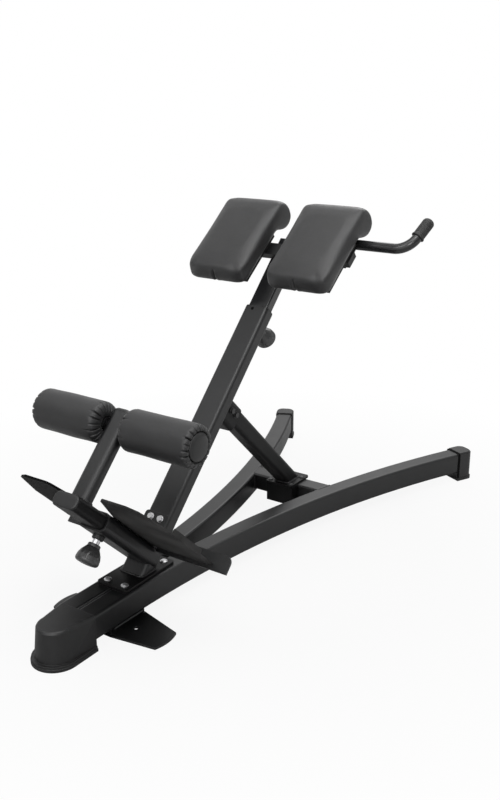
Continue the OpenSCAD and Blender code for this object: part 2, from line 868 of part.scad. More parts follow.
module toe_stop_bolts() {
  color([0.75, 0.75, 0.77]) on_post() {
    for (y = [-14, 14]) {
      translate([-5, y, stop_tab - 14]) rotate([0, -90, 0]) hex_bolt(small_r, 7.5);
    }
  }
}

// sliding roller carriage

module slide_bar() {
  color([0.12, 0.12, 0.13]) difference() {
    along_foot(bar_rear) linear_extrude(bar_len - bar_rear) tube_section(bar_h, bar_w, bar_corner - 2, bar_wall);
    for (i = [0:2]) {
      foot_pin_axis() translate([i * pin_pitch, 0, -foot_slide - bar_wall - 2])
        cylinder(r = plunger_d / 2 + hole_gap, h = bar_wall + 4);
    }
  }
}

module bar_cap() {
  color([0.1, 0.1, 0.11]) {
    along_foot(bar_len) linear_extrude(3) rounded_rect(bar_h, bar_w, bar_corner - 2);
    along_foot(bar_len + 3) linear_extrude(2, scale = 0.94) rounded_rect(bar_h, bar_w, bar_corner - 2, $fn = 32);
    along_foot(bar_len - 20) linear_extrude(20)
      tube_section(bar_h - 2 * (bar_wall + plug_gap), bar_w - 2 * (bar_wall + plug_gap), bar_corner - 5, 3);
  }
}

module bar_glide() {
  color([0.05, 0.05, 0.06]) along_foot(bar_rear - 22) {
    linear_extrude(21.9) rounded_rect(foot_h - 2 * (foot_wall + slide_gap), foot_w - 2 * (foot_wall + slide_gap), bar_corner);
    linear_extrude(40)
      rounded_rect(bar_h - 2 * (bar_wall + plug_gap), bar_w - 2 * (bar_wall + plug_gap), bar_corner - 5);
  }
}

module roller_post() {
  color([0.14, 0.14, 0.15]) difference() {
    on_post() translate([-roller_t, 0, foot_z]) linear_extrude(roller_z + rpost_top - foot_z)
      tube_section(rpost_d, rpost_w, rpost_d / 2 - 1, 2.5);
    along_foot(bar_rear) linear_extrude(bar_len - bar_rear) rounded_rect(bar_h, bar_w, bar_corner - 2);
    on_roller() cylinder(r = shaft_r + 0.1, h = 2 * rpost_w, center = true);
  }
}

module roller_post_cap() {
  color([0.06, 0.06, 0.07]) on_post() translate([-roller_t, 0, roller_z + rpost_top]) {
    linear_extrude(3) rounded_rect(rpost_d, rpost_w, rpost_d / 2 - 1);
    translate([0, 0, 3]) linear_extrude(4, scale = 0.8) rounded_rect(rpost_d, rpost_w, rpost_d / 2 - 1, $fn = 32);
    translate([0, 0, -12]) linear_extrude(12.5)
      rounded_rect(rpost_d - 5 - 2 * plug_gap, rpost_w - 5 - 2 * plug_gap, rpost_d / 2 - 4);
  }
}

module roller_shaft() {
  half = roller_in + roller_len - 12;
  color([0.7, 0.7, 0.72]) on_roller() difference() {
    cylinder(r = shaft_r, h = 2 * half, center = true);
    cylinder(r = shaft_r - 3, h = 2 * half + 2, center = true);
  }
}

module shaft_spacers() {
  len = roller_in - rpost_w / 2 - 0.8;
  color([0.06, 0.06, 0.07]) on_roller() {
    for (side = [0, 180]) {
      rotate([side, 0, 0]) translate([0, 0, rpost_w / 2 + 0.2]) difference() {
        cylinder(r = shaft_r + 5, h = len);
        translate([0, 0, -1]) cylinder(r = shaft_r + 0.1, h = len + 2);
      }
    }
  }
}

// z = 0 on the inner end of a roller
module roller_side(side) {
  on_roller() rotate([side, 0, 0]) translate([0, 0, roller_in]) children();
}

module roller_core() {
  difference() {
    cylinder(r = core_r, h = roller_len - 8);
    translate([0, 0, -1]) cylinder(r = shaft_r + shaft_gap, h = roller_len);
  }
}

module roller_foam() {
  r = roller_d / 2;
  hole = core_r + soft_gap;
  edge = 9;
  face = roller_len - 8;
  rotate_extrude($fn = 96) {
    difference() {
      union() {
        translate([hole, 0]) square([r - edge - hole, roller_len - 1]);
        translate([hole, edge]) square([r - hole, roller_len - 1 - 2 * edge]);
        translate([r - edge, edge]) circle(edge);
        translate([r - edge, roller_len - 1 - edge]) circle(edge);
      }
      translate([0, face - soft_gap]) square([disc_d / 2 + soft_gap, 20]);
    }
  }
}

module roller_disc() {
  low = roller_len - 8;
  difference() {
    union() {
      translate([0, 0, low]) cylinder(d = disc_d, h = 6.5);
      translate([0, 0, low + 6.5]) cylinder(d1 = disc_d, d2 = disc_d - 5, h = 1.5);
    }
    translate([0, 0, low + 6.8]) cylinder(d = disc_d - 16, h = 3);
  }
}

module roller_core_left() {
  color([0.2, 0.2, 0.2]) roller_side(0) roller_core();
}

module roller_foam_left() {
  color([0.08, 0.08, 0.08]) roller_side(0) roller_foam();
}

module roller_disc_left() {
  color([0.1, 0.1, 0.11]) roller_side(0) roller_disc();
}

module roller_core_right() {
  color([0.2, 0.2, 0.2]) roller_side(180) roller_core();
}

module roller_foam_right() {
  color([0.08, 0.08, 0.08]) roller_side(180) roller_foam();
}

module roller_disc_right() {
  color([0.1, 0.1, 0.11]) roller_side(180) roller_disc();
}

// sliding head

module inner_envelope() {
  on_post() translate([post_d / 2, 0, inner_low]) linear_extrude(inner_high - inner_low)
    rounded_rect(inner_d, inner_w, inner_r - bush_wall);
}

module inner_tube() {
  color([0.17, 0.17, 0.18]) on_post() difference() {
    translate([post_d / 2, 0, inner_low]) linear_extrude(inner_high - inner_low)
      tube_section(inner_d, inner_w, inner_r - bush_wall, inner_wall);
    for (i = [-2:5]) {
      translate([post_d / 2, 0, pin_z - i * pin_pitch]) rotate([0, 90, 0])
        cylinder(r = plunger_d / 2 + hole_gap, h = post_d);
    }
  }
}

module inner_glide() {
  color([0.05, 0.05, 0.06]) on_post() translate([post_d / 2, 0, inner_low - 25]) {
    linear_extrude(24.9)
      rounded_rect(post_d - 2 * (post_wall + slide_gap), post_w - 2 * (post_wall + slide_gap), inner_r);
    linear_extrude(45)
      rounded_rect(inner_d - 2 * (inner_wall + plug_gap), inner_w - 2 * (inner_wall + plug_gap), 1.5);
  }
}

module handle_side(d, wall) {
  translate([handle_x, 3, handle_z]) rotate([-90, 0, 0]) linear_extrude(handle_half - 3) ring_section(d, wall);
  translate([handle_x, handle_half, handle_z + handle_bend_r]) rotate([0, 90, 0])
    rotate_extrude(angle = handle_bend, $fn = 96) translate([handle_bend_r, 0]) ring_section(d, wall);
  handle_tip() translate([0, 0, -1]) linear_extrude(handle_end + 1) ring_section(d - 0.1, wall - 0.1);
}

// z runs out along the straight end of the handle
module handle_tip() {
  translate([handle_x, handle_half, handle_z + handle_bend_r]) rotate([0, 90, 0]) rotate([0, 0, handle_bend])
    translate([handle_bend_r, 0, 0]) rotate([-90, 0, 0]) children();
}

module handle_bar() {
  color([0.14, 0.14, 0.15]) on_post() mirror([0, 1, 0]) handle_side(handle_d, handle_wall);
}

module inner_lid() {
  color([0.14, 0.14, 0.15]) on_post() translate([post_d / 2, 0, inner_high]) linear_extrude(lid_t)
    rounded_rect(inner_d, inner_w, inner_r - bush_wall);
}

// flat plate that ties the handle to the carrier
module handle_bracket() {
  top = -board_t - soft_gap - carrier_h;
  color([0.14, 0.14, 0.15]) difference() {
    on_pad() translate([carrier_p, 13 - carrier_half, top - 4]) cube([tie_len, 0.81 * pad_w, 4]);
    on_post() translate([handle_x, 0, handle_z]) rotate([90, 0, 0]) cylinder(d = handle_d, h = handle_half, $fn = 96);
  }
}

module grip_form() {
  r = grip_d / 2;
  hole = handle_d / 2 + soft_gap;
  handle_tip() translate([0, 0, 2]) rotate_extrude($fn = 64) difference() {
    union() {
      square([r + 1.5, 4]);
      square([r, handle_end - 2]);
      translate([0, handle_end - 2]) square([r - 5, 5]);
      translate([r - 5, handle_end - 2]) circle(5);
    }
    translate([-20, -10]) square([20, 200]);
    translate([0, -1]) square([hole, handle_end - 0.6]);
  }
}

module grip() {
  color([0.04, 0.04, 0.04]) on_post() mirror([0, 1, 0]) grip_form();
}

module pad_screw_places() {
  for (p = [0.3, 0.7], y = [0.243 * pad_w, 0.703 * pad_w]) {
    both_sides() translate([carrier_p + p * carrier_w, pad_gap / 2 + y, -board_t - soft_gap]) children();
  }
}

module pad_carrier() {
  top = -board_t - soft_gap;
  color([0.14, 0.14, 0.15]) difference() {
    on_pad() difference() {
      translate([carrier_p, -carrier_half, top - carrier_h]) cube([carrier_w, 2 * carrier_half, carrier_h]);
      translate([carrier_p + carrier_wall, carrier_wall - carrier_half, top - carrier_h - 1])
        cube([carrier_w - 2 * carrier_wall, 2 * (carrier_half - carrier_wall), carrier_h + 1 - carrier_wall]);
      pad_screw_places() translate([0, 0, -6]) cylinder(r = 2.5 + hole_gap, h = 8);
    }
    inner_envelope();
  }
}

module pad_board() {
  low = -pad_low + 24;
  difference() {
    translate([low, pad_gap / 2 + board_inset, -board_t - soft_gap])
      cube([74 - low, pad_w - 2 * board_inset, board_t]);
    pad_screw_places() translate([0, 0, -1]) cylinder(r = 2.5 + hole_gap, h = board_t - 0.5);
  }
}

module pad_board_left() {
  color([0.5, 0.4, 0.28]) on_pad() pad_board();
}

module pad_board_right() {
  color([0.5, 0.4, 0.28]) on_pad() mirror([0, 1, 0]) pad_board();
}

module pad_screws() {
  color([0.75, 0.75, 0.77]) on_pad() pad_screw_places() translate([0, 0, -carrier_wall]) mirror([0, 0, 1])
    hex_bolt(2.5, carrier_wall + board_t - 2);
}

function arc_points(c, r, a0, a1, n) = [for (i = [0:n]) c + r * [cos(a0 + (a1 - a0) * i / n), sin(a0 + (a1 - a0) * i / n)]];

face_from = [nose_p, pad_t - 1];
face_to = [-pad_low + 6 + pad_face_r, pad_t];
pad_side = concat(
  arc_points([nose_p, pad_t - 1 - nose_r], nose_r, 225, 450, 12),
  [for (i = [1:8]) let (u = i / 9) face_from + u * (face_to - face_from) + [0, 1.5 * sin(180 * u)]],
  arc_points([-pad_low + 6 + pad_face_r, pad_t - pad_face_r], pad_face_r, 90, 165, 4),
  arc_points([-pad_low + 14, 14], 14, 180, 270, 4),
  [[-40, 0], [10, 0], [55, 0], [nose_p - 48, 0]]);
pad_count = len(pad_side);
pad_turns = [-90, -60, -30, 0, 0, 0, 0, 0, 30, 60, 90];
pad_across = [-1, -1, -1, -1, -0.5, 0, 0.5, 1, 1, 1, 1];

function pad_normal(i) =
  let (d = pad_side[(i + 1) % pad_count] - pad_side[(i + pad_count - 1) % pad_count])
  [d[1], -d[0]] / norm(d);

function pad_pull(p) =
  let (u = (2 * p + pad_low - nose_p - nose_r) / (pad_low + nose_p + nose_r))
  pad_draw * (1 - u * u);

function pad_point(i, k) =
  let (turn = pad_turns[k])
  let (flat = abs(turn) == 90)
  let (in = pad_side[i] - pad_edge * (1 - cos(turn)) * pad_normal(i))
  let (pull = flat ? pad_draw : pad_pull(in[0]))
  let (half = pad_w / 2 - pull - pad_edge)
  let (y = pad_across[k] * half + pad_edge * sin(turn))
  let (lift = pad_crown * max(in[1], 0) / pad_t * (1 - pow(2 * y / pad_w, 2)))
  [in[0], y, in[1] + lift];

module pad_form() {
  rings = len(pad_turns);
  points = [for (k = [0:rings - 1], i = [0:pad_count - 1]) pad_point(i, k)];
  walls = [for (k = [0:rings - 2], i = [0:pad_count - 1]) let (j = (i + 1) % pad_count)
    [k * pad_count + i, k * pad_count + j, (k + 1) * pad_count + j, (k + 1) * pad_count + i]];
  near = [for (i = [0:pad_count - 1]) pad_count - 1 - i];
  far = [for (i = [0:pad_count - 1]) (rings - 1) * pad_count + i];
  polyhedron(points, concat(walls, [near], [far]), convexity = 6);
}

module pad_left() {
  color([0.08, 0.08, 0.08]) on_pad() translate([0, pad_mid, 0]) pad_form();
}

module pad_right() {
  color([0.08, 0.08, 0.08]) on_pad() translate([0, -pad_mid, 0]) pad_form();
}

leg_left();
leg_right();
front_cap();
rear_cap_left();
rear_cap_right();
floor_plate();
cross_member();
strut_seat();
base_plate();
base_bolts();
post();
post_bush();
bush_screw();
post_boss();
post_barrel();
post_spring();
strut();
strut_bracket();
bracket_bolts();
strut_flange();
flange_bolts();
foot_tube();
foot_bush();
foot_boss();
foot_barrel();
foot_spring();
foot_plate();
foot_plate_bolts();
toe_stop();
toe_stop_bolts();
inner_tube();
inner_glide();
inner_lid();
handle_bar();
handle_bracket();
grip();
pad_carrier();
pad_board_left();
pad_board_right();
pad_left();
pad_right();
pad_screws();
post_plunger();
post_knob();
foot_plunger();
foot_knob();
slide_bar();
bar_cap();
bar_glide();
roller_post();
roller_post_cap();
roller_shaft();
shaft_spacers();
roller_core_left();
roller_foam_left();
roller_disc_left();
roller_core_right();
roller_foam_right();
roller_disc_right();
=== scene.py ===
import json
import math
import bpy
import numpy as np
from mathutils import Matrix, Vector


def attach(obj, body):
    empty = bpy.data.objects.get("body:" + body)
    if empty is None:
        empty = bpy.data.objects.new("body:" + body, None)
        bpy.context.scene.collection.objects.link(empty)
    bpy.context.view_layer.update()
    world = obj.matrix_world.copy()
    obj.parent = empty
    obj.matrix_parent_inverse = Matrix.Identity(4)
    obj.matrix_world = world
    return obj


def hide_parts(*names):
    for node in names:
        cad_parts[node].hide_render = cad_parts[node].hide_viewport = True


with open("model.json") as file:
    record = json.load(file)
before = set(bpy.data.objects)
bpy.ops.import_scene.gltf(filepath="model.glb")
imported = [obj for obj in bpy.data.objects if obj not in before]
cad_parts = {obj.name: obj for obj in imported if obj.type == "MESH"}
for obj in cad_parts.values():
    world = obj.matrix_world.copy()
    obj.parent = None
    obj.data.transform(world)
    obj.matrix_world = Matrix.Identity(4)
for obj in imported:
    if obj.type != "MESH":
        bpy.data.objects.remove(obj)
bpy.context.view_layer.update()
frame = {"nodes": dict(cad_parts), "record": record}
nodes = frame["nodes"]
scene = bpy.context.scene
print("frame loaded,", len(nodes), "nodes")

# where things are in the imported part, in metres
midY = 0.009545                                   # the bench's own mid-plane
upPost = Vector((0.69842, 0, 0.71569))            # along the slanted post
offPost = Vector((0.71569, 0, -0.69842))          # out of its rear face
postFoot = Vector((-0.438729, midY, 0.090))
padSlope = math.radians(38.2)                     # of the cushions
pinhole = 0.0005                                  # ring at the axis of a turned piece, closed later
mergeWithin = 0.00002


def onPost(up, off, across=0.0):
    # a place measured from the foot of the post
    return postFoot + offPost * off + upPost * up + Vector((0, across, 0))


def clearSelection():
    if bpy.context.object and bpy.context.object.mode != "OBJECT":
        bpy.ops.object.mode_set(mode="OBJECT")
    bpy.ops.object.select_all(action="DESELECT")


def pick(piece):
    clearSelection()
    piece.select_set(True)
    bpy.context.view_layer.objects.active = piece


def newest(name):
    piece = bpy.context.object
    piece.name = name
    piece.data.name = name
    return piece


def axisPlace(start, along):
    return Matrix.Translation(start) @ along.to_track_quat("Z", "Y").to_matrix().to_4x4()


def axesTurn(x, y, z):
    return Matrix((x, y, z)).transposed().to_4x4()


def applyPlace(piece, place):
    pick(piece)
    piece.matrix_world = place
    bpy.ops.object.transform_apply(location=True, rotation=True, scale=True)


def applyAll(piece):
    pick(piece)
    for m in list(piece.modifiers):
        bpy.ops.object.modifier_apply(modifier=m.name)


def points(piece):
    co = np.empty(len(piece.data.vertices) * 3, np.float32)
    piece.data.vertices.foreach_get("co", co)
    return co.reshape(-1, 3).astype(float)


def setPoints(piece, co):
    piece.data.vertices.foreach_set("co", co.astype(np.float32).ravel())
    piece.data.update()


def markFoldShade(piece, share):
    # how deep each point lies in a fold, for the painted shade in the vinyl's folds
    mark = piece.data.attributes.new("fold", "FLOAT", "POINT")
    mark.data.foreach_set("value", share.astype(np.float32))


def paint(piece, finish):
    piece.data.materials.clear()
    piece.data.materials.append(finish)


def smoothBelow(degrees):
    bpy.ops.object.shade_smooth_by_angle(angle=math.radians(degrees))


def quarter(steps):
    # angles of a quarter turn
    return [i / steps * math.pi / 2 for i in range(steps + 1)]


def turned(name, rings, sides):
    # a circle pulled out ring by ring along z, as (radius, height) pairs, left in edit mode
    clearSelection()
    bpy.ops.mesh.primitive_circle_add(vertices=sides, radius=rings[0][0], location=(0, 0, 0))
    piece = newest(name)
    bpy.ops.object.mode_set(mode="EDIT")
    bpy.ops.mesh.select_all(action="SELECT")
    bpy.ops.transform.translate(value=(0, 0, rings[0][1]))
    for (r0, z0), (r1, z1) in zip(rings, rings[1:]):
        bpy.ops.mesh.extrude_region_move(TRANSFORM_OT_translate={"value": (0, 0, z1 - z0)})
        bpy.ops.transform.resize(value=(r1 / r0, r1 / r0, 1), center_override=(0, 0, z1))
    return piece


def startPlane(name):
    # a unit square about the origin, left in edit mode and selected
    clearSelection()
    bpy.ops.mesh.primitive_plane_add(size=1, location=(0, 0, 0))
    piece = newest(name)
    bpy.ops.object.mode_set(mode="EDIT")
    bpy.ops.mesh.select_all(action="SELECT")
    return piece


def roundedPlate(name, size, corner, segments):
    piece = startPlane(name)
    bpy.ops.transform.resize(value=(*size, 1))
    bpy.ops.mesh.bevel(offset=corner, segments=segments, affect="VERTICES")
    bpy.ops.mesh.select_all(action="SELECT")
    return piece


def roundedLoop(name, size, corner, segments):
    piece = roundedPlate(name, size, corner, segments)
    bpy.ops.mesh.delete(type="ONLY_FACE")
    bpy.ops.mesh.select_all(action="SELECT")
    return piece


def closeEnds():
    # last ring to a point, first ring filled
    bpy.ops.mesh.merge(type="CENTER")
    bpy.ops.mesh.select_all(action="DESELECT")
    bpy.ops.mesh.select_non_manifold()
    bpy.ops.mesh.edge_face_add()


def closeSkin():
    # ends edit mode with points merged and faces turned outward
    bpy.ops.mesh.select_all(action="SELECT")
    bpy.ops.mesh.remove_doubles(threshold=mergeWithin)
    bpy.ops.mesh.normals_make_consistent(inside=False)
    bpy.ops.object.mode_set(mode="OBJECT")


class Nodes:
    # a node tree and short ways to add to it
    def __init__(self, tree):
        self.tree = tree

    def feed(self, socket, value):
        # a link from another socket, or a constant
        if isinstance(value, bpy.types.NodeSocket):
            self.tree.links.new(value, socket)
        else:
            socket.default_value = value

    def node(self, kind, **settings):
        n = self.tree.nodes.new(kind)
        for key, value in settings.items():
            if key in n.inputs:
                self.feed(n.inputs[key], value)
            else:
                setattr(n, key, value)
        return n

    def calc(self, operation, *values):
        n = self.node("ShaderNodeMath", operation=operation)
        for socket, value in zip(n.inputs, values):
            self.feed(socket, value)
        return n.outputs["Value"]

    def vectorCalc(self, operation, result, *values):
        n = self.node("ShaderNodeVectorMath", operation=operation)
        for socket, value in zip(n.inputs, values):
            self.feed(socket, value)
        return n.outputs[result]

    def ramp(self, fac, low, high, a=0.0, b=1.0):
        # low at a, high at b
        n = self.node("ShaderNodeMapRange", Value=fac)
        for key, value in (("From Min", a), ("From Max", b), ("To Min", low), ("To Max", high)):
            n.inputs[key].default_value = value
        return n.outputs["Result"]


class Finish(Nodes):
    # a material with its shader
    def __init__(self, name):
        self.mat = bpy.data.materials.new(name)
        self.mat.use_nodes = True
        super().__init__(self.mat.node_tree)
        self.shader = self.tree.nodes["Principled BSDF"]
        self.place = self.node("ShaderNodeTexCoord").outputs["Object"]

    def set(self, **values):
        for key, value in values.items():
            self.feed(self.shader.inputs[key.replace("_", " ")], value)

    def axes(self):
        return self.node("ShaderNodeSeparateXYZ", Vector=self.place).outputs

    def stretched(self, scale, turn=(0, 0, 0)):
        n = self.node("ShaderNodeMapping", Vector=self.place, Rotation=turn, Scale=scale)
        return n.outputs["Vector"]

    def noise(self, scale, detail=2.0, rough=0.5, at=None):
        n = self.node("ShaderNodeTexNoise", Vector=at or self.place, Scale=scale, Detail=detail,
                      Roughness=rough)
        return n.outputs["Fac"]

    def mix(self, fac, a, b):
        n = self.node("ShaderNodeMix", data_type="RGBA")
        self.feed(n.inputs[0], fac)
        for socket, colour in ((n.inputs[6], a), (n.inputs[7], b)):
            self.feed(socket, (*colour, 1) if isinstance(colour, tuple) else colour)
        return n.outputs[2]

    def bump(self, height, strength, distance, normal=None):
        n = self.node("ShaderNodeBump", Height=height, Strength=strength, Distance=distance)
        if normal:
            self.feed(n.inputs["Normal"], normal)
        return n.outputs["Normal"]

    def softEdges(self, radius):
        return self.node("ShaderNodeBevel", samples=6, Radius=radius).outputs["Normal"]

    def edgeMask(self, radius):
        # how far the rounded-over normal leans from the true one
        true = self.node("ShaderNodeNewGeometry").outputs["Normal"]
        lean = self.vectorCalc("DOT_PRODUCT", "Value", self.softEdges(radius), true)
        return self.ramp(lean, 1.0, 0.0, 0.75, 0.98)


def shade(colour, share):
    return tuple(x * share for x in colour)


framePaint = {
    "colour": (0.0120, 0.0122, 0.0128), "cloud": 14, "satin": 0.36, "gloss": 0.13,
    "worn": (0.05, 0.05, 0.052), "wornShare": 0.5, "wornEdge": 0.0022, "wornPatch": 60,
    "peel": 620, "relief": (0.05, 0.0006), "edge": 0.0016,
}


def makeFramePaint(name, roughness, paintedLightLift):
    # powder coat, worn here and there along the edges
    c = framePaint
    f = Finish(name)
    # the colour raised by the lift as painted light; 1.0 leaves it as it is
    colour = shade(c["colour"], paintedLightLift)
    cloud = f.ramp(f.noise(c["cloud"], 3), 0, 1, 0.35, 0.65)
    patch = f.ramp(f.noise(c["wornPatch"], 4), 0.0, 1.0, 0.42, 0.62)
    worn = f.ramp(f.calc("MULTIPLY", f.edgeMask(c["wornEdge"]), patch), 0.0, c["wornShare"])
    base = f.mix(cloud, shade(colour, 0.88), shade(colour, 1.12))
    f.set(Base_Color=f.mix(worn, base, c["worn"]),
          Roughness=f.ramp(f.noise(30, 3), roughness - 0.05, roughness + 0.06),
          Normal=f.bump(f.noise(c["peel"], 2), *c["relief"], f.softEdges(c["edge"])))
    return f.mat


# even finishes: colour and roughness vary with a noise (scale, detail), the grain is a fine bump
metal = {"cloud": (140, 4), "dull": (260, 4), "grain": (1800, 3), "relief": (0.05, 0.0003), "edge": 0.0006,
         "more": {"Metallic": 1.0}}
plainLooks = {
    "capPlastic": {
        "dark": (0.011475, 0.011475, 0.0119), "light": (0.0162, 0.0162, 0.0168), "cloud": (25, 3),
        "rough": (0.36, 0.50), "dull": (40, 3), "grain": (900, 3), "relief": (0.12, 0.0005), "edge": 0.0018},
    "knobGloss": {
        # dark grey, lighter than the black plastic: partly the plastic's tone, partly a painted reflection
        "dark": (0.075, 0.075, 0.076), "light": (0.1125, 0.1125, 0.114), "cloud": (80, 3),
        "rough": (0.19, 0.30), "dull": (120, 3), "grain": (700, 2), "relief": (0.04, 0.0004), "edge": 0.0012},
    "zincBolt": {
        **metal, "dark": (0.6068, 0.6068, 0.615), "light": (0.74, 0.74, 0.75), "rough": (0.34, 0.50)},
    "chromePin": {
        **metal, "dark": (0.6396, 0.6396, 0.656), "light": (0.78, 0.78, 0.8), "rough": (0.09, 0.19)},
    "springSteel": {
        **metal, "dark": (0.41, 0.41, 0.4264), "light": (0.5, 0.5, 0.52), "rough": (0.26, 0.42)},
    "blackBolt": {
        "dark": (0.016, 0.016, 0.017), "light": (0.03, 0.03, 0.031), "cloud": (200, 3),
        "rough": (0.32, 0.45), "dull": (300, 3), "grain": (1500, 2), "relief": (0.06, 0.0003), "edge": 0.0006,
        "more": {"Specular_IOR_Level": 0.6}},
    "gripRubber": {
        "dark": (0.030, 0.030, 0.030), "light": (0.048, 0.048, 0.048), "cloud": (70, 4),
        "rough": (0.55, 0.72), "dull": (90, 3), "grain": (1300, 3), "relief": (0.3, 0.0005)},
    # near-black rubber used as painted shade: bands under the rear caps, spacers beside the rollers, the bush
    # screw
    "shadowRubber": {
        "dark": (0.0015, 0.0015, 0.0016), "light": (0.003, 0.003, 0.003), "cloud": (120, 3),
        "rough": (0.78, 0.92), "dull": (90, 3), "grain": (900, 2), "relief": (0.15, 0.0004),
        "more": {"Specular_IOR_Level": 0.1}},
    # dull, darker copy of the frame paint: painted shade on the brace, slide bar and base plate
    "shadeBlackPaint": {
        "dark": (0.0065, 0.0065, 0.0068), "light": (0.0095, 0.0095, 0.0098), "cloud": (18, 3),
        "worn": (0.03, 0.03, 0.031), "wornShare": 0.35, "wornEdge": 0.002,
        "rough": (0.38, 0.5), "dull": (34, 3), "grain": (700, 2), "relief": (0.06, 0.0005), "edge": 0.0016,
        "more": {"Specular_IOR_Level": 0.22}},
}


def makePlain(name):
    look = plainLooks[name]
    f = Finish(name)
    colour = f.mix(f.noise(*look["cloud"]), look["dark"], look["light"])
    if "worn" in look:
        worn = f.ramp(f.edgeMask(look["wornEdge"]), 0.0, look["wornShare"])
        colour = f.mix(worn, colour, look["worn"])
    edges = f.softEdges(look["edge"]) if "edge" in look else None
    f.set(Base_Color=colour, Roughness=f.ramp(f.noise(*look["dull"]), *look["rough"]),
          Normal=f.bump(f.noise(*look["grain"]), *look["relief"], edges), **look.get("more", {}))
    return f.mat


tread = {
    "clean": (0.0075, 0.0075, 0.0078), "scuffAndSheen": (0.10, 0.099, 0.098), "smear": (15, 8, 15),
    "right": 0.85, "left": 0.03, "across": (-0.05, 0.06),
    "rough": (0.55, 0.7), "grain": (600, 3), "relief": (0.08, 0.0005), "edge": 0.0016,
}


def makeTread():
    # foot plate: dull black, with shoe scuffs and a painted reflection that makes the right half lighter
    c = tread
    f = Finish("treadPaint")
    smear = f.ramp(f.noise(1.0, 4, 0.5, f.stretched(c["smear"])), 0.35, 1.0, 0.32, 0.68)
    # scuffs mixed with painted reflection: the lighter share is high on the right half, where light falls, and
    # low on the left
    share = f.calc("MULTIPLY", smear, f.ramp(f.axes()["Y"], c["right"], c["left"], *c["across"]))
    f.set(Base_Color=f.mix(share, c["clean"], c["scuffAndSheen"]),
          Roughness=f.ramp(share, *c["rough"]), Specular_IOR_Level=0.03,
          Normal=f.bump(f.noise(*c["grain"]), *c["relief"], f.softEdges(c["edge"])))
    return f.mat


weldLook = {
    "light": 1.5, "cloud": (200, 3), "rough": (0.34, 0.5), "dull": (160, 3), "ripple": 330.0,
    "relief": (0.6, 0.0016),
}


def makeWeld():
    # painted over, so only the ripples tell it from the tube
    c = weldLook
    f = Finish("weldPaint")
    colour = framePaint["colour"]
    ripple = f.node("ShaderNodeTexVoronoi", Vector=f.place, Scale=c["ripple"]).outputs["Distance"]
    f.set(Base_Color=f.mix(f.noise(*c["cloud"]), colour, shade(colour, c["light"])),
          Roughness=f.ramp(f.noise(*c["dull"]), *c["rough"]), Normal=f.bump(ripple, *c["relief"]))
    return f.mat


plyBoard = {
    "light": (0.022, 0.021, 0.02), "dark": (0.012, 0.0115, 0.011), "grain": (6, 60, 300), "rough": 0.72,
    "relief": (0.2, 0.0006),
}


def makePlyBoard():
    c = plyBoard
    f = Finish("plyBoard")
    grain = f.noise(1.0, 6, 0.6, f.stretched(c["grain"], (0, padSlope, 0)))        # along the cushion
    f.set(Base_Color=f.mix(f.ramp(grain, 0, 1, 0.35, 0.65), c["dark"], c["light"]),
          Roughness=c["rough"], Normal=f.bump(grain, *c["relief"]))
    return f.mat


vinyls = {
    "padVinyl": {"colour": (0.033, 0.033, 0.034), "rough": 0.40, "grain": 0.0021, "deep": 0.22},
    "rollerVinyl": {"colour": (0.029, 0.029, 0.030), "rough": 0.46, "grain": 0.0016, "deep": 0.16},
}
foldShadeColour = (0.004, 0.004, 0.004)                # painted shade deep in the gathers and pleats


def makeVinyl(name):
    # leather-like cells, with painted shade in their creases
    c = vinyls[name]
    f = Finish(name)
    colour, size = c["colour"], c["grain"]
    stir = f.node("ShaderNodeTexNoise", Vector=f.place, Scale=0.35 / size, Detail=2).outputs["Color"]
    wobble = f.vectorCalc("MULTIPLY_ADD", "Vector", stir, (size * 1.2,) * 3, f.place)
    cell = f.node("ShaderNodeTexVoronoi", feature="DISTANCE_TO_EDGE", Vector=wobble, Scale=1 / size,
                  Randomness=1.0).outputs["Distance"]
    crease = f.ramp(cell, 0.0, 1.0, 0.0, 0.22)
    soft = f.noise(26, 3)
    base = f.mix(f.ramp(soft, 0, 1, 0.3, 0.7), shade(colour, 0.9), shade(colour, 1.1))
    # painted shade in the creases between the cells
    grained = f.mix(f.ramp(crease, 0.35, 1.0), shade(colour, 0.62), base)
    # painted shade: darker the deeper a point lies in a fold
    fold = f.node("ShaderNodeAttribute", attribute_name="fold").outputs["Fac"]
    f.set(Base_Color=f.mix(f.ramp(fold, 0.0, 1.0, 0.05, 0.6), grained, foldShadeColour),
          Roughness=f.ramp(f.noise(55, 3), c["rough"] - 0.05, c["rough"] + 0.06),
          Specular_IOR_Level=0.5, Sheen_Weight=0.12, Sheen_Roughness=0.45,
          Normal=f.bump(crease, c["deep"], 0.0004, f.bump(soft, 0.15, 0.004)))
    return f.mat


# one finish for each material slot of the record
finishes = {
    "frame_paint": makeFramePaint("framePaint", framePaint["satin"], 1.0),
    # gloss copy made twice as light: painted light on the glossy pieces
    "gloss_paint": makeFramePaint("glossPaint", framePaint["gloss"], 2.0),
    "black_plastic": makePlain("capPlastic"),
    "knob_plastic": makePlain("knobGloss"),
    "zinc_bolt": makePlain("zincBolt"),
    "black_bolt": makePlain("blackBolt"),
    "chrome_pin": makePlain("chromePin"),
    "spring_steel": makePlain("springSteel"),
    "plywood": makePlyBoard(),
    "pad_vinyl": makeVinyl("padVinyl"),
    "roller_vinyl": makeVinyl("rollerVinyl"),
    "grip_rubber": makePlain("gripRubber"),
}
# near black, painted shade
shadowRubber = makePlain("shadowRubber")
weldPaint = makeWeld()
# the frame paint made darker, as painted shade for pieces that lie in shade
shadeBlackPaint = makePlain("shadeBlackPaint")
treadPaint = makeTread()
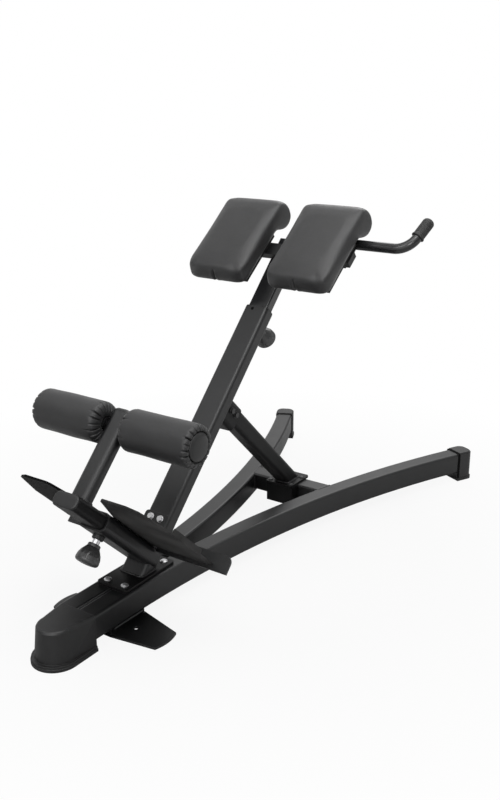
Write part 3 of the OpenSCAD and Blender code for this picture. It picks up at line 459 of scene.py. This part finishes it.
# solids that differ from their slot's finish
ownFinish = {
    "strut": shadeBlackPaint, "strut_bracket": shadeBlackPaint, "strut_flange": shadeBlackPaint, "strut_seat": shadeBlackPaint,
    "slide_bar": shadeBlackPaint, "base_plate": shadeBlackPaint, "bush_screw": shadowRubber,
    "foot_plate": treadPaint, "shaft_spacers": shadowRubber,
}
print("finishes made,", len(finishes) + 4)        # four more than the slots


# fitted to the photograph, angles in degrees
cameraSpot = {
    "place": (-1.871128, -1.310678, 1.158266), "yaw": 34.649, "pitch": 18.744, "roll": -0.243,
    "lens": 43.187, "sensor": 36, "clip": (0.05, 200),
}


def makeCamera():
    c = cameraSpot
    yaw, pitch, roll = (math.radians(c[k]) for k in ("yaw", "pitch", "roll"))
    ahead = Vector((math.cos(yaw) * math.cos(pitch), math.sin(yaw) * math.cos(pitch), -math.sin(pitch)))
    level = Vector((math.sin(yaw), -math.cos(yaw), 0))
    above = level.cross(ahead)
    right = math.cos(roll) * level + math.sin(roll) * above
    up = -math.sin(roll) * level + math.cos(roll) * above
    camData = bpy.data.cameras.new("camera")
    cam = bpy.data.objects.new("camera", camData)
    scene.collection.objects.link(cam)
    camData.lens, camData.sensor_width = c["lens"], c["sensor"]
    camData.clip_start, camData.clip_end = c["clip"]
    cam.matrix_world = Matrix.Translation(c["place"]) @ axesTurn(right, up, -ahead)
    scene.camera = cam


lamps = {
    "topSoft": {"at": (-0.2, -0.45, 3.2), "to": (0, 0, 0.4), "size": 2.4, "power": 44},
    "frontSoft": {"at": (-1.06, 0.97, 1.84), "to": (-0.45, 0, 0.4), "size": 0.7, "power": 2},
    "rearSoft": {"at": (2.6, 0.6, 2.4), "to": (0.2, 0, 0.3), "size": 1.8, "power": 20},
}


def makeLamps():
    for name, lamp in lamps.items():
        data = bpy.data.lights.new(name, "AREA")
        data.size, data.energy = lamp["size"], lamp["power"]
        obj = bpy.data.objects.new(name, data)
        scene.collection.objects.link(obj)
        aim = Vector(lamp["to"]) - Vector(lamp["at"])
        turn = aim.to_track_quat("-Z", "Y").to_matrix().to_4x4()
        obj.matrix_world = Matrix.Translation(lamp["at"]) @ turn


# what glossy pieces mirror: light around a direction, over a span of the cosine from it
room = {
    "wall": {"toward": (0.85, 0.42, 0.32), "span": (-0.1, 0.6), "light": (0.42, 0.80)},
    "front": {"toward": (-0.88, -0.20, 0.42), "span": (0.72, 0.94), "light": (0.0, 1.3)},
    "dark": {"toward": (0.98, 0.0, -0.05), "span": (0.80, 0.96), "light": (0.0, -0.6)},      # takes light away
    "bend": {"toward": (-0.75, 0.16, 0.64), "span": (0.975, 0.99), "light": (0.0, 3.0)},
    "desk": {"toward": (-0.80, -0.45, 0.40), "span": (0.985, 0.995), "light": (0.0, 6.0)},
    "right": {"toward": (-0.20, -0.62, 0.75), "span": (0.86, 0.97), "light": (0.0, 0.8)},
    "spark": {"toward": (-0.44, -0.25, 0.86), "span": (0.984, 0.995), "light": (0.0, 4.0)},
}
softFill = 0.3                                    # from all sides, for the other rays


def makeWorld():
    world = bpy.data.worlds.new("studio")
    world.use_nodes = True
    scene.world = world
    w = Nodes(world.node_tree)
    ray = w.node("ShaderNodeLightPath").outputs
    way = w.node("ShaderNodeTexCoord").outputs["Generated"]
    lit = 0.0
    for patch in room.values():
        near = w.vectorCalc("DOT_PRODUCT", "Value", way, Vector(patch["toward"]).normalized())
        lit = w.calc("ADD", lit, w.ramp(near, *patch["light"], *patch["span"]))
    mirrored = w.node("ShaderNodeMix")
    for i, value in ((0, ray["Is Glossy Ray"]), (2, softFill), (3, lit)):
        w.feed(mirrored.inputs[i], value)
    seen = w.calc("MAXIMUM", ray["Is Camera Ray"], ray["Is Transmission Ray"])
    back = w.tree.nodes["Background"]
    back.inputs["Color"].default_value = (1, 1, 1, 1)
    w.feed(back.inputs["Strength"], w.calc("MAXIMUM", seen, mirrored.outputs[0]))


floorLook = {
    "round": 6, "sides": 96, "drop": 0.0004, "grey": (0.8, 0.8, 0.8),
    # as glossy pieces mirror it, by y, then by x: painted shade, darker to the left and far to the rear
    "right": (0.95, 0.95, 0.95), "left": (0.66, 0.66, 0.66), "across": (-0.7, 0.1),
    "rear": (0.12, 0.12, 0.12), "rearSpan": (3.0, 3.8),
    # glow by distance, for the camera and in reflections
    "white": (0.90, 1.0), "whiteSpan": (0.5, 1.3), "sheen": (0.0, 0.85), "sheenSpan": (1.5, 2.2),
}


def makeFloor():
    c = floorLook
    clearSelection()
    bpy.ops.mesh.primitive_circle_add(vertices=c["sides"], radius=c["round"], fill_type="NGON",
                                      location=(0, 0, 0))
    floor = newest("floor")
    bpy.ops.object.mode_set(mode="EDIT")
    bpy.ops.transform.translate(value=(0, 0, -c["drop"]))
    bpy.ops.object.mode_set(mode="OBJECT")
    f = Finish("floorPale")
    ray = f.node("ShaderNodeLightPath").outputs
    xyz = f.axes()
    beside = f.mix(f.ramp(xyz["Y"], 0.0, 1.0, *c["across"]), c["right"], c["left"])
    notRear = f.ramp(xyz["X"], 1.0, 0.0, *c["rearSpan"])
    # painted shade in reflections: the floor darker to the left and far behind
    mirrored = f.mix(notRear, c["rear"], beside)
    f.set(Base_Color=f.mix(ray["Is Glossy Ray"], c["grey"], mirrored), Roughness=0.9, Specular_IOR_Level=0.1)
    away = f.vectorCalc("LENGTH", "Value", f.place)
    seen = f.calc("MULTIPLY", ray["Is Camera Ray"], f.ramp(away, *c["white"], *c["whiteSpan"]))
    sheen = f.calc("MULTIPLY", ray["Is Glossy Ray"], f.ramp(away, *c["sheen"], *c["sheenSpan"]))
    share = f.calc("MULTIPLY_ADD", notRear, sheen, seen)
    glow = f.node("ShaderNodeEmission", Color=(1, 1, 1, 1), Strength=1.0)
    mixer = f.node("ShaderNodeMixShader")
    for socket, value in zip(mixer.inputs, (share, f.shader.outputs[0], glow.outputs[0])):
        f.feed(socket, value)
    f.feed(f.tree.nodes["Material Output"].inputs["Surface"], mixer.outputs[0])
    paint(floor, f.mat)


scene.view_settings.view_transform = "Standard"
makeCamera()
makeLamps()
makeWorld()
makeFloor()
print("camera, light and floor set")


# hip cushions, each from a copy of its solid
cushion = {
    "up": 0.8634, "off": -0.0203, "across": 0.1195, "boardEnd": 0.088, "onBoard": 0.004, "flatBelow": 0.003,
    "voxel": 0.0044, "ease": 4, "shy": 0.0012,
    "cornerLow": 0.048, "cornerTop": 0.030, "cornerShare": 0.6, "cornerRise": 0.044,
    "most": 0.0045, "frames": 20, "easeAfter": 3,
    "pleatWide": 0.0027, "pleatDeep": 0.0060, "pleatLong": 0.03, "pleatTop": 0.043, "pleatFade": 0.012,
    "puckerAway": 0.007, "puckerWide": 0.004, "puckerDeep": 0.0009,
}
# stretchy vinyl over foam, so that it bulges without wrinkles
vinylCloth = {
    "quality": 6, "mass": 0.3, "air_damping": 6.0, "tension_stiffness": 3, "compression_stiffness": 3,
    "shear_stiffness": 2, "bending_stiffness": 12, "use_pressure": True, "uniform_pressure_force": 2.6,
}


def puffUp(piece, held):
    # cloth under light pressure; points on the board stay where they are
    most, frames = cushion["most"], cushion["frames"]
    group = piece.vertex_groups.new(name="held")
    group.add([int(i) for i in held], 1.0, "REPLACE")
    start = points(piece)
    cloth = piece.modifiers.new("puff", "CLOTH")
    for key, value in vinylCloth.items():
        setattr(cloth.settings, key, value)
    cloth.settings.vertex_group_mass = "held"
    cloth.settings.effector_weights.gravity = 0
    cloth.point_cache.frame_start, cloth.point_cache.frame_end = 1, frames
    for step in range(1, frames + 1):
        scene.frame_set(step)
    pick(piece)
    bpy.ops.object.modifier_apply(modifier=cloth.name)
    scene.frame_set(1)
    move = points(piece) - start
    far = np.linalg.norm(move, axis=1)
    keep = np.minimum(1.0, most / np.maximum(far, 1e-9))
    setPoints(piece, start + move * keep[:, None])
    print(piece.name, "puffed", round(float(far.max()) * 1000, 1), "mm, kept to", most * 1000)


def easeSkin(piece, times):
    soft = piece.modifiers.new("ease", "SMOOTH")
    soft.factor, soft.iterations = 0.5, times
    applyAll(piece)


def roundCorners(co):
    # draws the four corners in, seen from above the face, most of all at the face
    c = cushion
    half = np.abs(co[:, 1]).max()
    rise = c["cornerShare"] + (1 - c["cornerShare"]) * np.clip(co[:, 2] / c["cornerRise"], 0, 1)
    for end, most in ((co[:, 0].min(), c["cornerLow"]), (co[:, 0].max(), c["cornerTop"])):
        way = 1 if end > 0 else -1
        radius = most * rise
        u = (co[:, 0] * way - abs(end) + radius) / radius
        v = (np.abs(co[:, 1]) - half + radius) / radius
        inside = (u > 0) & (v > 0)
        keep = np.where(inside, (u ** 4 + v ** 4) ** 0.25 / np.maximum(np.hypot(u, v), 1e-6), 1.0)
        co[:, 0] = np.where(inside, way * (abs(end) - radius + u * keep * radius), co[:, 0])
        co[:, 1] = np.where(inside, np.sign(co[:, 1]) * (half - radius + v * keep * radius), co[:, 1])
    return co


def makeCushion(name, node, side):
    c = cushion
    place = (Matrix.Translation(onPost(c["up"], c["off"], side * c["across"]))
             @ Matrix.Rotation(-padSlope, 4, "Y"))
    piece = bpy.data.objects.new(name, nodes[node].data.copy())
    scene.collection.objects.link(piece)
    piece.data.name = name
    piece.data.transform(place.inverted())              # x up the cushion, z out of its face
    pick(piece)
    bpy.ops.object.mode_set(mode="EDIT")
    closeSkin()
    skin = piece.modifiers.new("skin", "REMESH")
    skin.mode, skin.voxel_size = "VOXEL", c["voxel"]
    applyAll(piece)
    easeSkin(piece, c["ease"])
    setPoints(piece, roundCorners(points(piece)))
    easeSkin(piece, 2 * c["ease"])
    # a little smaller than the solid, apart from the side on the board
    co = points(piece)
    out = np.empty(co.size, np.float32)
    piece.data.vertices.foreach_get("normal", out)
    underside = (co[:, 2] < c["onBoard"]) & (co[:, 0] < c["boardEnd"])
    co -= out.reshape(-1, 3) * np.where(underside, 0.0, c["shy"])[:, None]
    setPoints(piece, co)
    puffUp(piece, np.where(underside)[0])
    easeSkin(piece, c["easeAfter"])
    fine = piece.modifiers.new("fine", "SUBSURF")
    fine.levels = fine.render_levels = 1
    applyAll(piece)
    # flat where it rests on its board
    co = points(piece)
    rest = (co[:, 0] < c["boardEnd"]) & (co[:, 2] < c["flatBelow"])
    co[rest, 2] = np.maximum(co[rest, 2], 0.0)
    # short sewn pleat down the middle of the lower end, slightly puckered on both sides
    groove = np.exp(-(co[:, 1] / c["pleatWide"]) ** 2)
    end = np.clip(1 - (co[:, 0] - co[:, 0].min()) / c["pleatLong"], 0, 1)
    end *= np.clip((c["pleatTop"] - co[:, 2]) / c["pleatFade"], 0, 1)
    co[:, 0] += c["pleatDeep"] * groove * end
    pucker = np.exp(-((np.abs(co[:, 1]) - c["puckerAway"]) / c["puckerWide"]) ** 2)
    co[:, 0] -= c["puckerDeep"] * pucker * end
    setPoints(piece, co)
    # the pleat's groove marked for painted shade
    markFoldShade(piece, groove ** 2 * end)
    piece.data.transform(place)
    pick(piece)
    bpy.ops.object.shade_smooth()
    paint(piece, finishes["pad_vinyl"])
    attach(piece, "pad_carriage")
    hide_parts(node)


makeCushion("cushionLeft", "pad_left", 1)
makeCushion("cushionRight", "pad_right", -1)
print("cushions done")


# ankle rollers, turned about z from the inner end; the cover is gathered at both ends
roller = {
    "up": 0.2464, "off": -0.263, "inner": 0.030, "length": 0.1885, "round": 0.0469, "gap": 0.0003,
    "bore": 0.0168, "boreDeep": 0.003, "mouth": (0.020, 0.0012), "shoulder": 0.0125, "shoulderSteps": 8,
    "gatherDeep": 0.016, "gatherTall": 0.022, "gatherSteps": 14, "barrelSteps": 30, "sides": 280,
    "discRound": 0.0324, "discDepth": 0.0071, "discClear": 0.0006,
    # the cover's outer edge: past the disc's rim, under the end
    "tuck": ((0.0025, 0.0011), (0.0016, 0.0024), (0.0008, 0.0048), (0.0002, 0.0071)),
    "pleats": 20, "pleatDeep": 0.0056, "innerReach": 0.026, "outerReach": 0.017,
    "innerPull": 0.0045, "outerPull": 0.0065, "innerFrom": 0.0205, "outerFrom": 0.0334, "outerShare": 0.9,
    "bodyFrom": 0.022, "bodyFade": 0.012, "looseFrom": 0.04, "looseFade": 0.004, "slack": 0.0004,
}


def gather(ang, depthFromEnd, reachMost, phase):
    # narrow, uneven valleys over a shoulder, deepest at the sewn edge
    drift = 0.35 * np.sin(3 * ang + phase) + 0.22 * np.sin(5 * ang + 2.1 * phase)
    wave = np.cos(roller["pleats"] * ang + phase + drift)
    valley = np.clip((wave - 0.35) / 0.65, 0, 1) ** 1.5
    uneven = 0.75 + 0.25 * np.sin(7 * ang + 1.7 * phase)
    reach = np.clip(1 - depthFromEnd / (reachMost * uneven), 0, 1)
    return valley * reach ** 1.1 * uneven


def rollerPlace(side):
    start = onPost(roller["up"], roller["off"], side * roller["inner"])
    return axisPlace(start, Vector((0, side, 0)))


def makeRoller(name, side):
    c = roller
    r, n, disc, ln = c["round"], c["shoulder"], c["discRound"], c["length"]
    deep, tall = c["gatherDeep"], c["gatherTall"]
    low, top = c["gap"], ln - c["gap"]
    rings = [(c["bore"], c["boreDeep"]), c["mouth"], (r - tall, low)]
    for a in quarter(c["gatherSteps"])[1:-1]:
        rings.append((r - tall + tall * math.sin(a), low + deep - deep * math.cos(a)))
    for i in range(c["barrelSteps"] + 1):
        rings.append((r, low + deep + (top - low - deep - n) * i / c["barrelSteps"]))
    for a in quarter(c["shoulderSteps"])[1:-2]:
        rings.append((r - n + n * math.cos(a), top - n + n * math.sin(a)))
    # edge tucked in around the end disc
    rings += [(disc + past, ln - under) for past, under in c["tuck"]]
    rings += [(c["bore"], ln - c["discDepth"]), (c["bore"], c["boreDeep"])]
    piece = turned(name, rings, c["sides"])
    closeSkin()
    co = points(piece)
    rad = np.hypot(co[:, 0], co[:, 1])
    ang = np.arctan2(co[:, 1], co[:, 0])
    aroundDisc = rad > c["outerFrom"]
    # the phases make every end gather differently
    atInner = np.where(rad > c["innerFrom"], gather(ang, co[:, 2], c["innerReach"], 0.4 + side), 0)
    atOuter = np.where(aroundDisc, gather(ang, ln - co[:, 2], c["outerReach"], 1.3 - side), 0)
    fold = atInner + c["outerShare"] * atOuter
    # cover pulled a little loosely over its foam
    loose = 0.00035 * np.sin(2 * ang + 40 * co[:, 2]) + 0.0002 * np.sin(5 * ang - 70 * co[:, 2])
    body = np.clip((rad - c["bodyFrom"]) / c["bodyFade"], 0, 1)
    skin = np.clip((rad - c["looseFrom"]) / c["looseFade"], 0, 1)
    newRad = rad - c["pleatDeep"] * fold * body + (loose - c["slack"]) * skin
    nearDisc = (co[:, 2] > ln / 2) & aroundDisc
    newRad = np.where(nearDisc, np.maximum(newRad, disc + c["discClear"]), newRad)
    co[:, 0] *= newRad / rad
    co[:, 1] *= newRad / rad
    co[:, 2] += c["innerPull"] * atInner * body - c["outerPull"] * atOuter
    setPoints(piece, co)
    # the gathers marked for painted shade
    markFoldShade(piece, np.clip(fold, 0, 1))
    applyPlace(piece, rollerPlace(side))
    bpy.ops.object.shade_smooth()
    paint(piece, finishes["roller_vinyl"])
    return piece


endDisc = {
    "round": 0.0313, "low": 0.1815, "lip": 0.0004, "face": 0.1885, "edge": 0.0040, "dome": 0.0042,
    "steps": 8, "sides": 96,
}


def makeDisc(name, side):
    # end disc with a low dome
    c = endDisc
    r, edge, top = c["round"], c["edge"], c["face"] + c["dome"]
    rings = [(pinhole, c["low"]), (r - c["lip"], c["low"]), (r, c["low"] + c["lip"])]
    for a in quarter(c["steps"]):
        rings.append((r - edge * (1 - math.cos(a)), c["face"] - edge * (1 - math.sin(a))))
    for a in quarter(c["steps"])[1:-1]:
        rings.append(((r - edge) * math.cos(a), c["face"] + c["dome"] * math.sin(a)))
    piece = turned(name, rings + [(pinhole, top)], c["sides"])
    closeEnds()
    closeSkin()
    applyPlace(piece, rollerPlace(side))
    smoothBelow(35)
    paint(piece, finishes["black_plastic"])
    return piece


for label, side in (("left", 1), ("right", -1)):
    cover = makeRoller("rollerCover" + label.capitalize(), side)
    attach(cover, "roller_" + label)
    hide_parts("roller_foam_" + label)
    disc = makeDisc("endDisc" + label.capitalize(), side)
    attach(disc, "roller_" + label)
    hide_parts("roller_disc_" + label)
print("rollers done")


# rubber grip on the handle's end, turned about z from its collar
grip = {
    "up": 0.98592, "off": 0.019, "across": -0.33606, "lean": 74, "start": 0.002, "sides": 72,
    "round": 0.015, "length": 0.055, "dome": 0.0105, "domeSteps": 8,
    "hole": 0.01305, "holeTip": 0.0128, "holeTaper": 0.040, "holeEnd": 0.0502,       # bore for the handle
    "collar": ((0.0158, 0.0), (0.0166, 0.0008), (0.0166, 0.0032), (0.0157, 0.004)), "neck": 0.0043,
    "ribs": 11, "ribDeep": 0.0005, "ribFrom": 0.008, "ribTo": 0.044, "ribShares": (0.55, 0.65, 0.9),
    "tip": (0.002, 0.0002), "tipRise": 0.0001,
}


def makeGrip():
    c = grip
    r, dome, end = c["round"], c["dome"], c["length"]
    rings = [(pinhole, c["holeEnd"]), (c["holeTip"], c["holeEnd"]), (c["hole"], c["holeTaper"]),
             (c["hole"], 0.0), *c["collar"], (r, c["neck"])]
    step = (c["ribTo"] - c["ribFrom"]) / c["ribs"]
    valley = r - c["ribDeep"]
    for i in range(c["ribs"]):
        z = c["ribFrom"] + step * i
        falls, low, rises = (z + step * share for share in c["ribShares"])
        rings += [(r, z), (r, falls), (valley, low), (valley, rises)]
    rings.append((r, c["ribTo"]))
    for a in quarter(c["domeSteps"])[:-1]:
        rings.append((r - dome + dome * math.cos(a), end - dome + dome * math.sin(a)))
    rings.append((r - dome, end))
    rings += [(small, end + c["tipRise"]) for small in c["tip"]]
    piece = turned("gripSleeve", rings, c["sides"])
    closeEnds()
    closeSkin()
    lean = math.radians(c["lean"])
    along = Vector((0, -math.cos(lean), 0)) + upPost * math.sin(lean)
    tip = onPost(c["up"], c["off"], c["across"])
    applyPlace(piece, axisPlace(tip + along * c["start"], along))
    smoothBelow(35)
    paint(piece, finishes["grip_rubber"])
    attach(piece, "pad_carriage")
    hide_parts("grip")


makeGrip()
print("grip done")


# soft-edged end cap of the slide bar
barCap = {
    "up": 0.0534, "off": -0.303, "size": (0.0334, 0.0674), "corner": 0.0150, "cornerSteps": 10,
    "thick": 0.0049, "round": 0.0042, "steps": 6, "faceInset": 0.006, "faceRise": 0.0001,
}


def makeBarCap():
    c = barCap
    piece = roundedPlate("barCapDome", c["size"], c["corner"], c["cornerSteps"])
    bpy.ops.mesh.extrude_region_move(TRANSFORM_OT_translate={"value": (0, 0, c["thick"] - c["round"])})
    angles = quarter(c["steps"])
    for a, b in zip(angles, angles[1:]):
        bpy.ops.mesh.inset(thickness=c["round"] * (math.cos(a) - math.cos(b)), depth=0)
        bpy.ops.transform.translate(value=(0, 0, c["round"] * (math.sin(b) - math.sin(a))))
    bpy.ops.mesh.inset(thickness=c["faceInset"], depth=0)
    bpy.ops.transform.translate(value=(0, 0, c["faceRise"]))
    closeSkin()
    seat = axesTurn(upPost, (0, 1, 0), -offPost)
    applyPlace(piece, Matrix.Translation(onPost(c["up"], c["off"])) @ seat)
    smoothBelow(40)
    paint(piece, finishes["black_plastic"])
    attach(piece, "roller_carriage")
    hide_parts("bar_cap")


makeBarCap()
print("bar cap done")


# near-black band in the neck of each rear cap: painted shade in the gap under the cap's rim
capShadowBand = {
    "end": (0.71067, 0.31855), "along": (0.89534, 0.44537), "from": -0.0418, "wide": 0.0066, "half": 0.0263,
    "low": 0.0083, "top": 0.0853, "thick": 0.0009, "corner": 0.001, "cornerSteps": 3,
}


def makeShadowBand(name, side):
    c = capShadowBand
    size = (2 * c["half"], c["top"] - c["low"])
    piece = roundedLoop(name, size, c["corner"], c["cornerSteps"])
    bpy.ops.mesh.extrude_region_move(TRANSFORM_OT_translate={"value": (0, 0, c["wide"])})
    closeSkin()
    wall = piece.modifiers.new("wall", "SOLIDIFY")
    wall.thickness, wall.offset = c["thick"], -1.0
    applyAll(piece)
    alongX, alongY = c["along"]
    along = Vector((alongX, side * alongY, 0))
    turn = axesTurn(Vector((-side * alongY, alongX, 0)), (0, 0, 1), along)
    at = Vector((c["end"][0], midY + side * c["end"][1], (c["low"] + c["top"]) / 2)) + along * c["from"]
    applyPlace(piece, Matrix.Translation(at) @ turn)
    smoothBelow(35)
    paint(piece, shadowRubber)
    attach(piece, "base")


makeShadowBand("capShadowBandLeft", 1)
makeShadowBand("capShadowBandRight", -1)
print("cap seals done")


# weld beads, laid where one tube meets another
beadRound, beadSteps = 0.0026, 6
unturned = Matrix.Identity(4)
acrossPost = axesTurn(offPost, (0, 1, 0), upPost)
loopWelds = {
    "weldPostFoot": {"body": "base", "turn": unturned, "at": (-0.41215, midY, 0.0905),
                     "size": (0.0531, 0.067), "corner": 0.010},
    "weldStrutFoot": {"body": "base", "turn": unturned, "at": (0.2198, midY, 0.0905),
                      "size": (0.0632, 0.046), "corner": 0.008},
    "weldPostTube": {"body": "base", "turn": acrossPost, "at": onPost(0.0758, 0.019),
                     "size": (0.038, 0.067), "corner": 0.009},
    "weldRollerPost": {"body": "roller_carriage", "turn": acrossPost, "at": onPost(0.0704, -0.263),
                       "size": (0.032, 0.050), "corner": 0.0148},
}
# straight beads, y from the mid-plane; the pairs lie on both sides of it
pairWelds = {
    "weldCrossFront": {"from": (0.2065, 0.1000, 0.038), "to": (0.2065, 0.1000, 0.082), "bead": beadRound},
    "weldCrossRear": {"from": (0.2579, 0.1144, 0.038), "to": (0.2579, 0.1144, 0.082), "bead": beadRound},
    "weldFloor": {"from": (-0.553, 0.0505, 0.0245), "to": (-0.458, 0.0518, 0.0245), "bead": 0.0024},
}
tubeSeam = {"from": (-0.6080, 0.0, 0.0718), "to": (-0.5040, 0.0, 0.0718), "bead": 0.0120}


def finishBead(piece, bead, body):
    # edge path to a round bead
    pick(piece)
    bpy.ops.object.convert(target="CURVE")
    piece = bpy.context.object
    piece.data.bevel_depth = bead
    piece.data.bevel_resolution = 3
    piece.data.use_fill_caps = True
    bpy.ops.object.convert(target="MESH")
    piece = bpy.context.object
    bpy.ops.object.mode_set(mode="EDIT")
    closeSkin()
    smoothBelow(50)
    paint(piece, weldPaint)
    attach(piece, body)


def makeLoopWeld(name, c):
    piece = roundedLoop(name, c["size"], c["corner"], beadSteps)
    bpy.ops.object.mode_set(mode="OBJECT")
    applyPlace(piece, Matrix.Translation(c["at"]) @ c["turn"])
    finishBead(piece, beadRound, c["body"])


def makeStraightWeld(name, c, side):
    start, end = (Vector((x, midY + side * y, z)) for x, y, z in (c["from"], c["to"]))
    piece = startPlane(name)
    bpy.ops.mesh.merge(type="CENTER")
    bpy.ops.transform.translate(value=start)
    bpy.ops.mesh.extrude_region_move(TRANSFORM_OT_translate={"value": end - start})
    bpy.ops.object.mode_set(mode="OBJECT")
    finishBead(piece, c["bead"], "base")


for name, look in loopWelds.items():
    makeLoopWeld(name, look)
for name, look in pairWelds.items():
    makeStraightWeld(name + "Left", look, 1)
    makeStraightWeld(name + "Right", look, -1)
makeStraightWeld("weldTubeSeam", tubeSeam, 1)
print("weld beads done,", len(loopWelds) + 2 * len(pairWelds) + 1)


def dressSolids():
    # finishes on the solids that stay
    for part in frame["record"]["subparts"]:
        paint(nodes[part["node"]], ownFinish.get(part["node"], finishes[part["material_slot"]]))


dressSolids()
print("solids dressed")
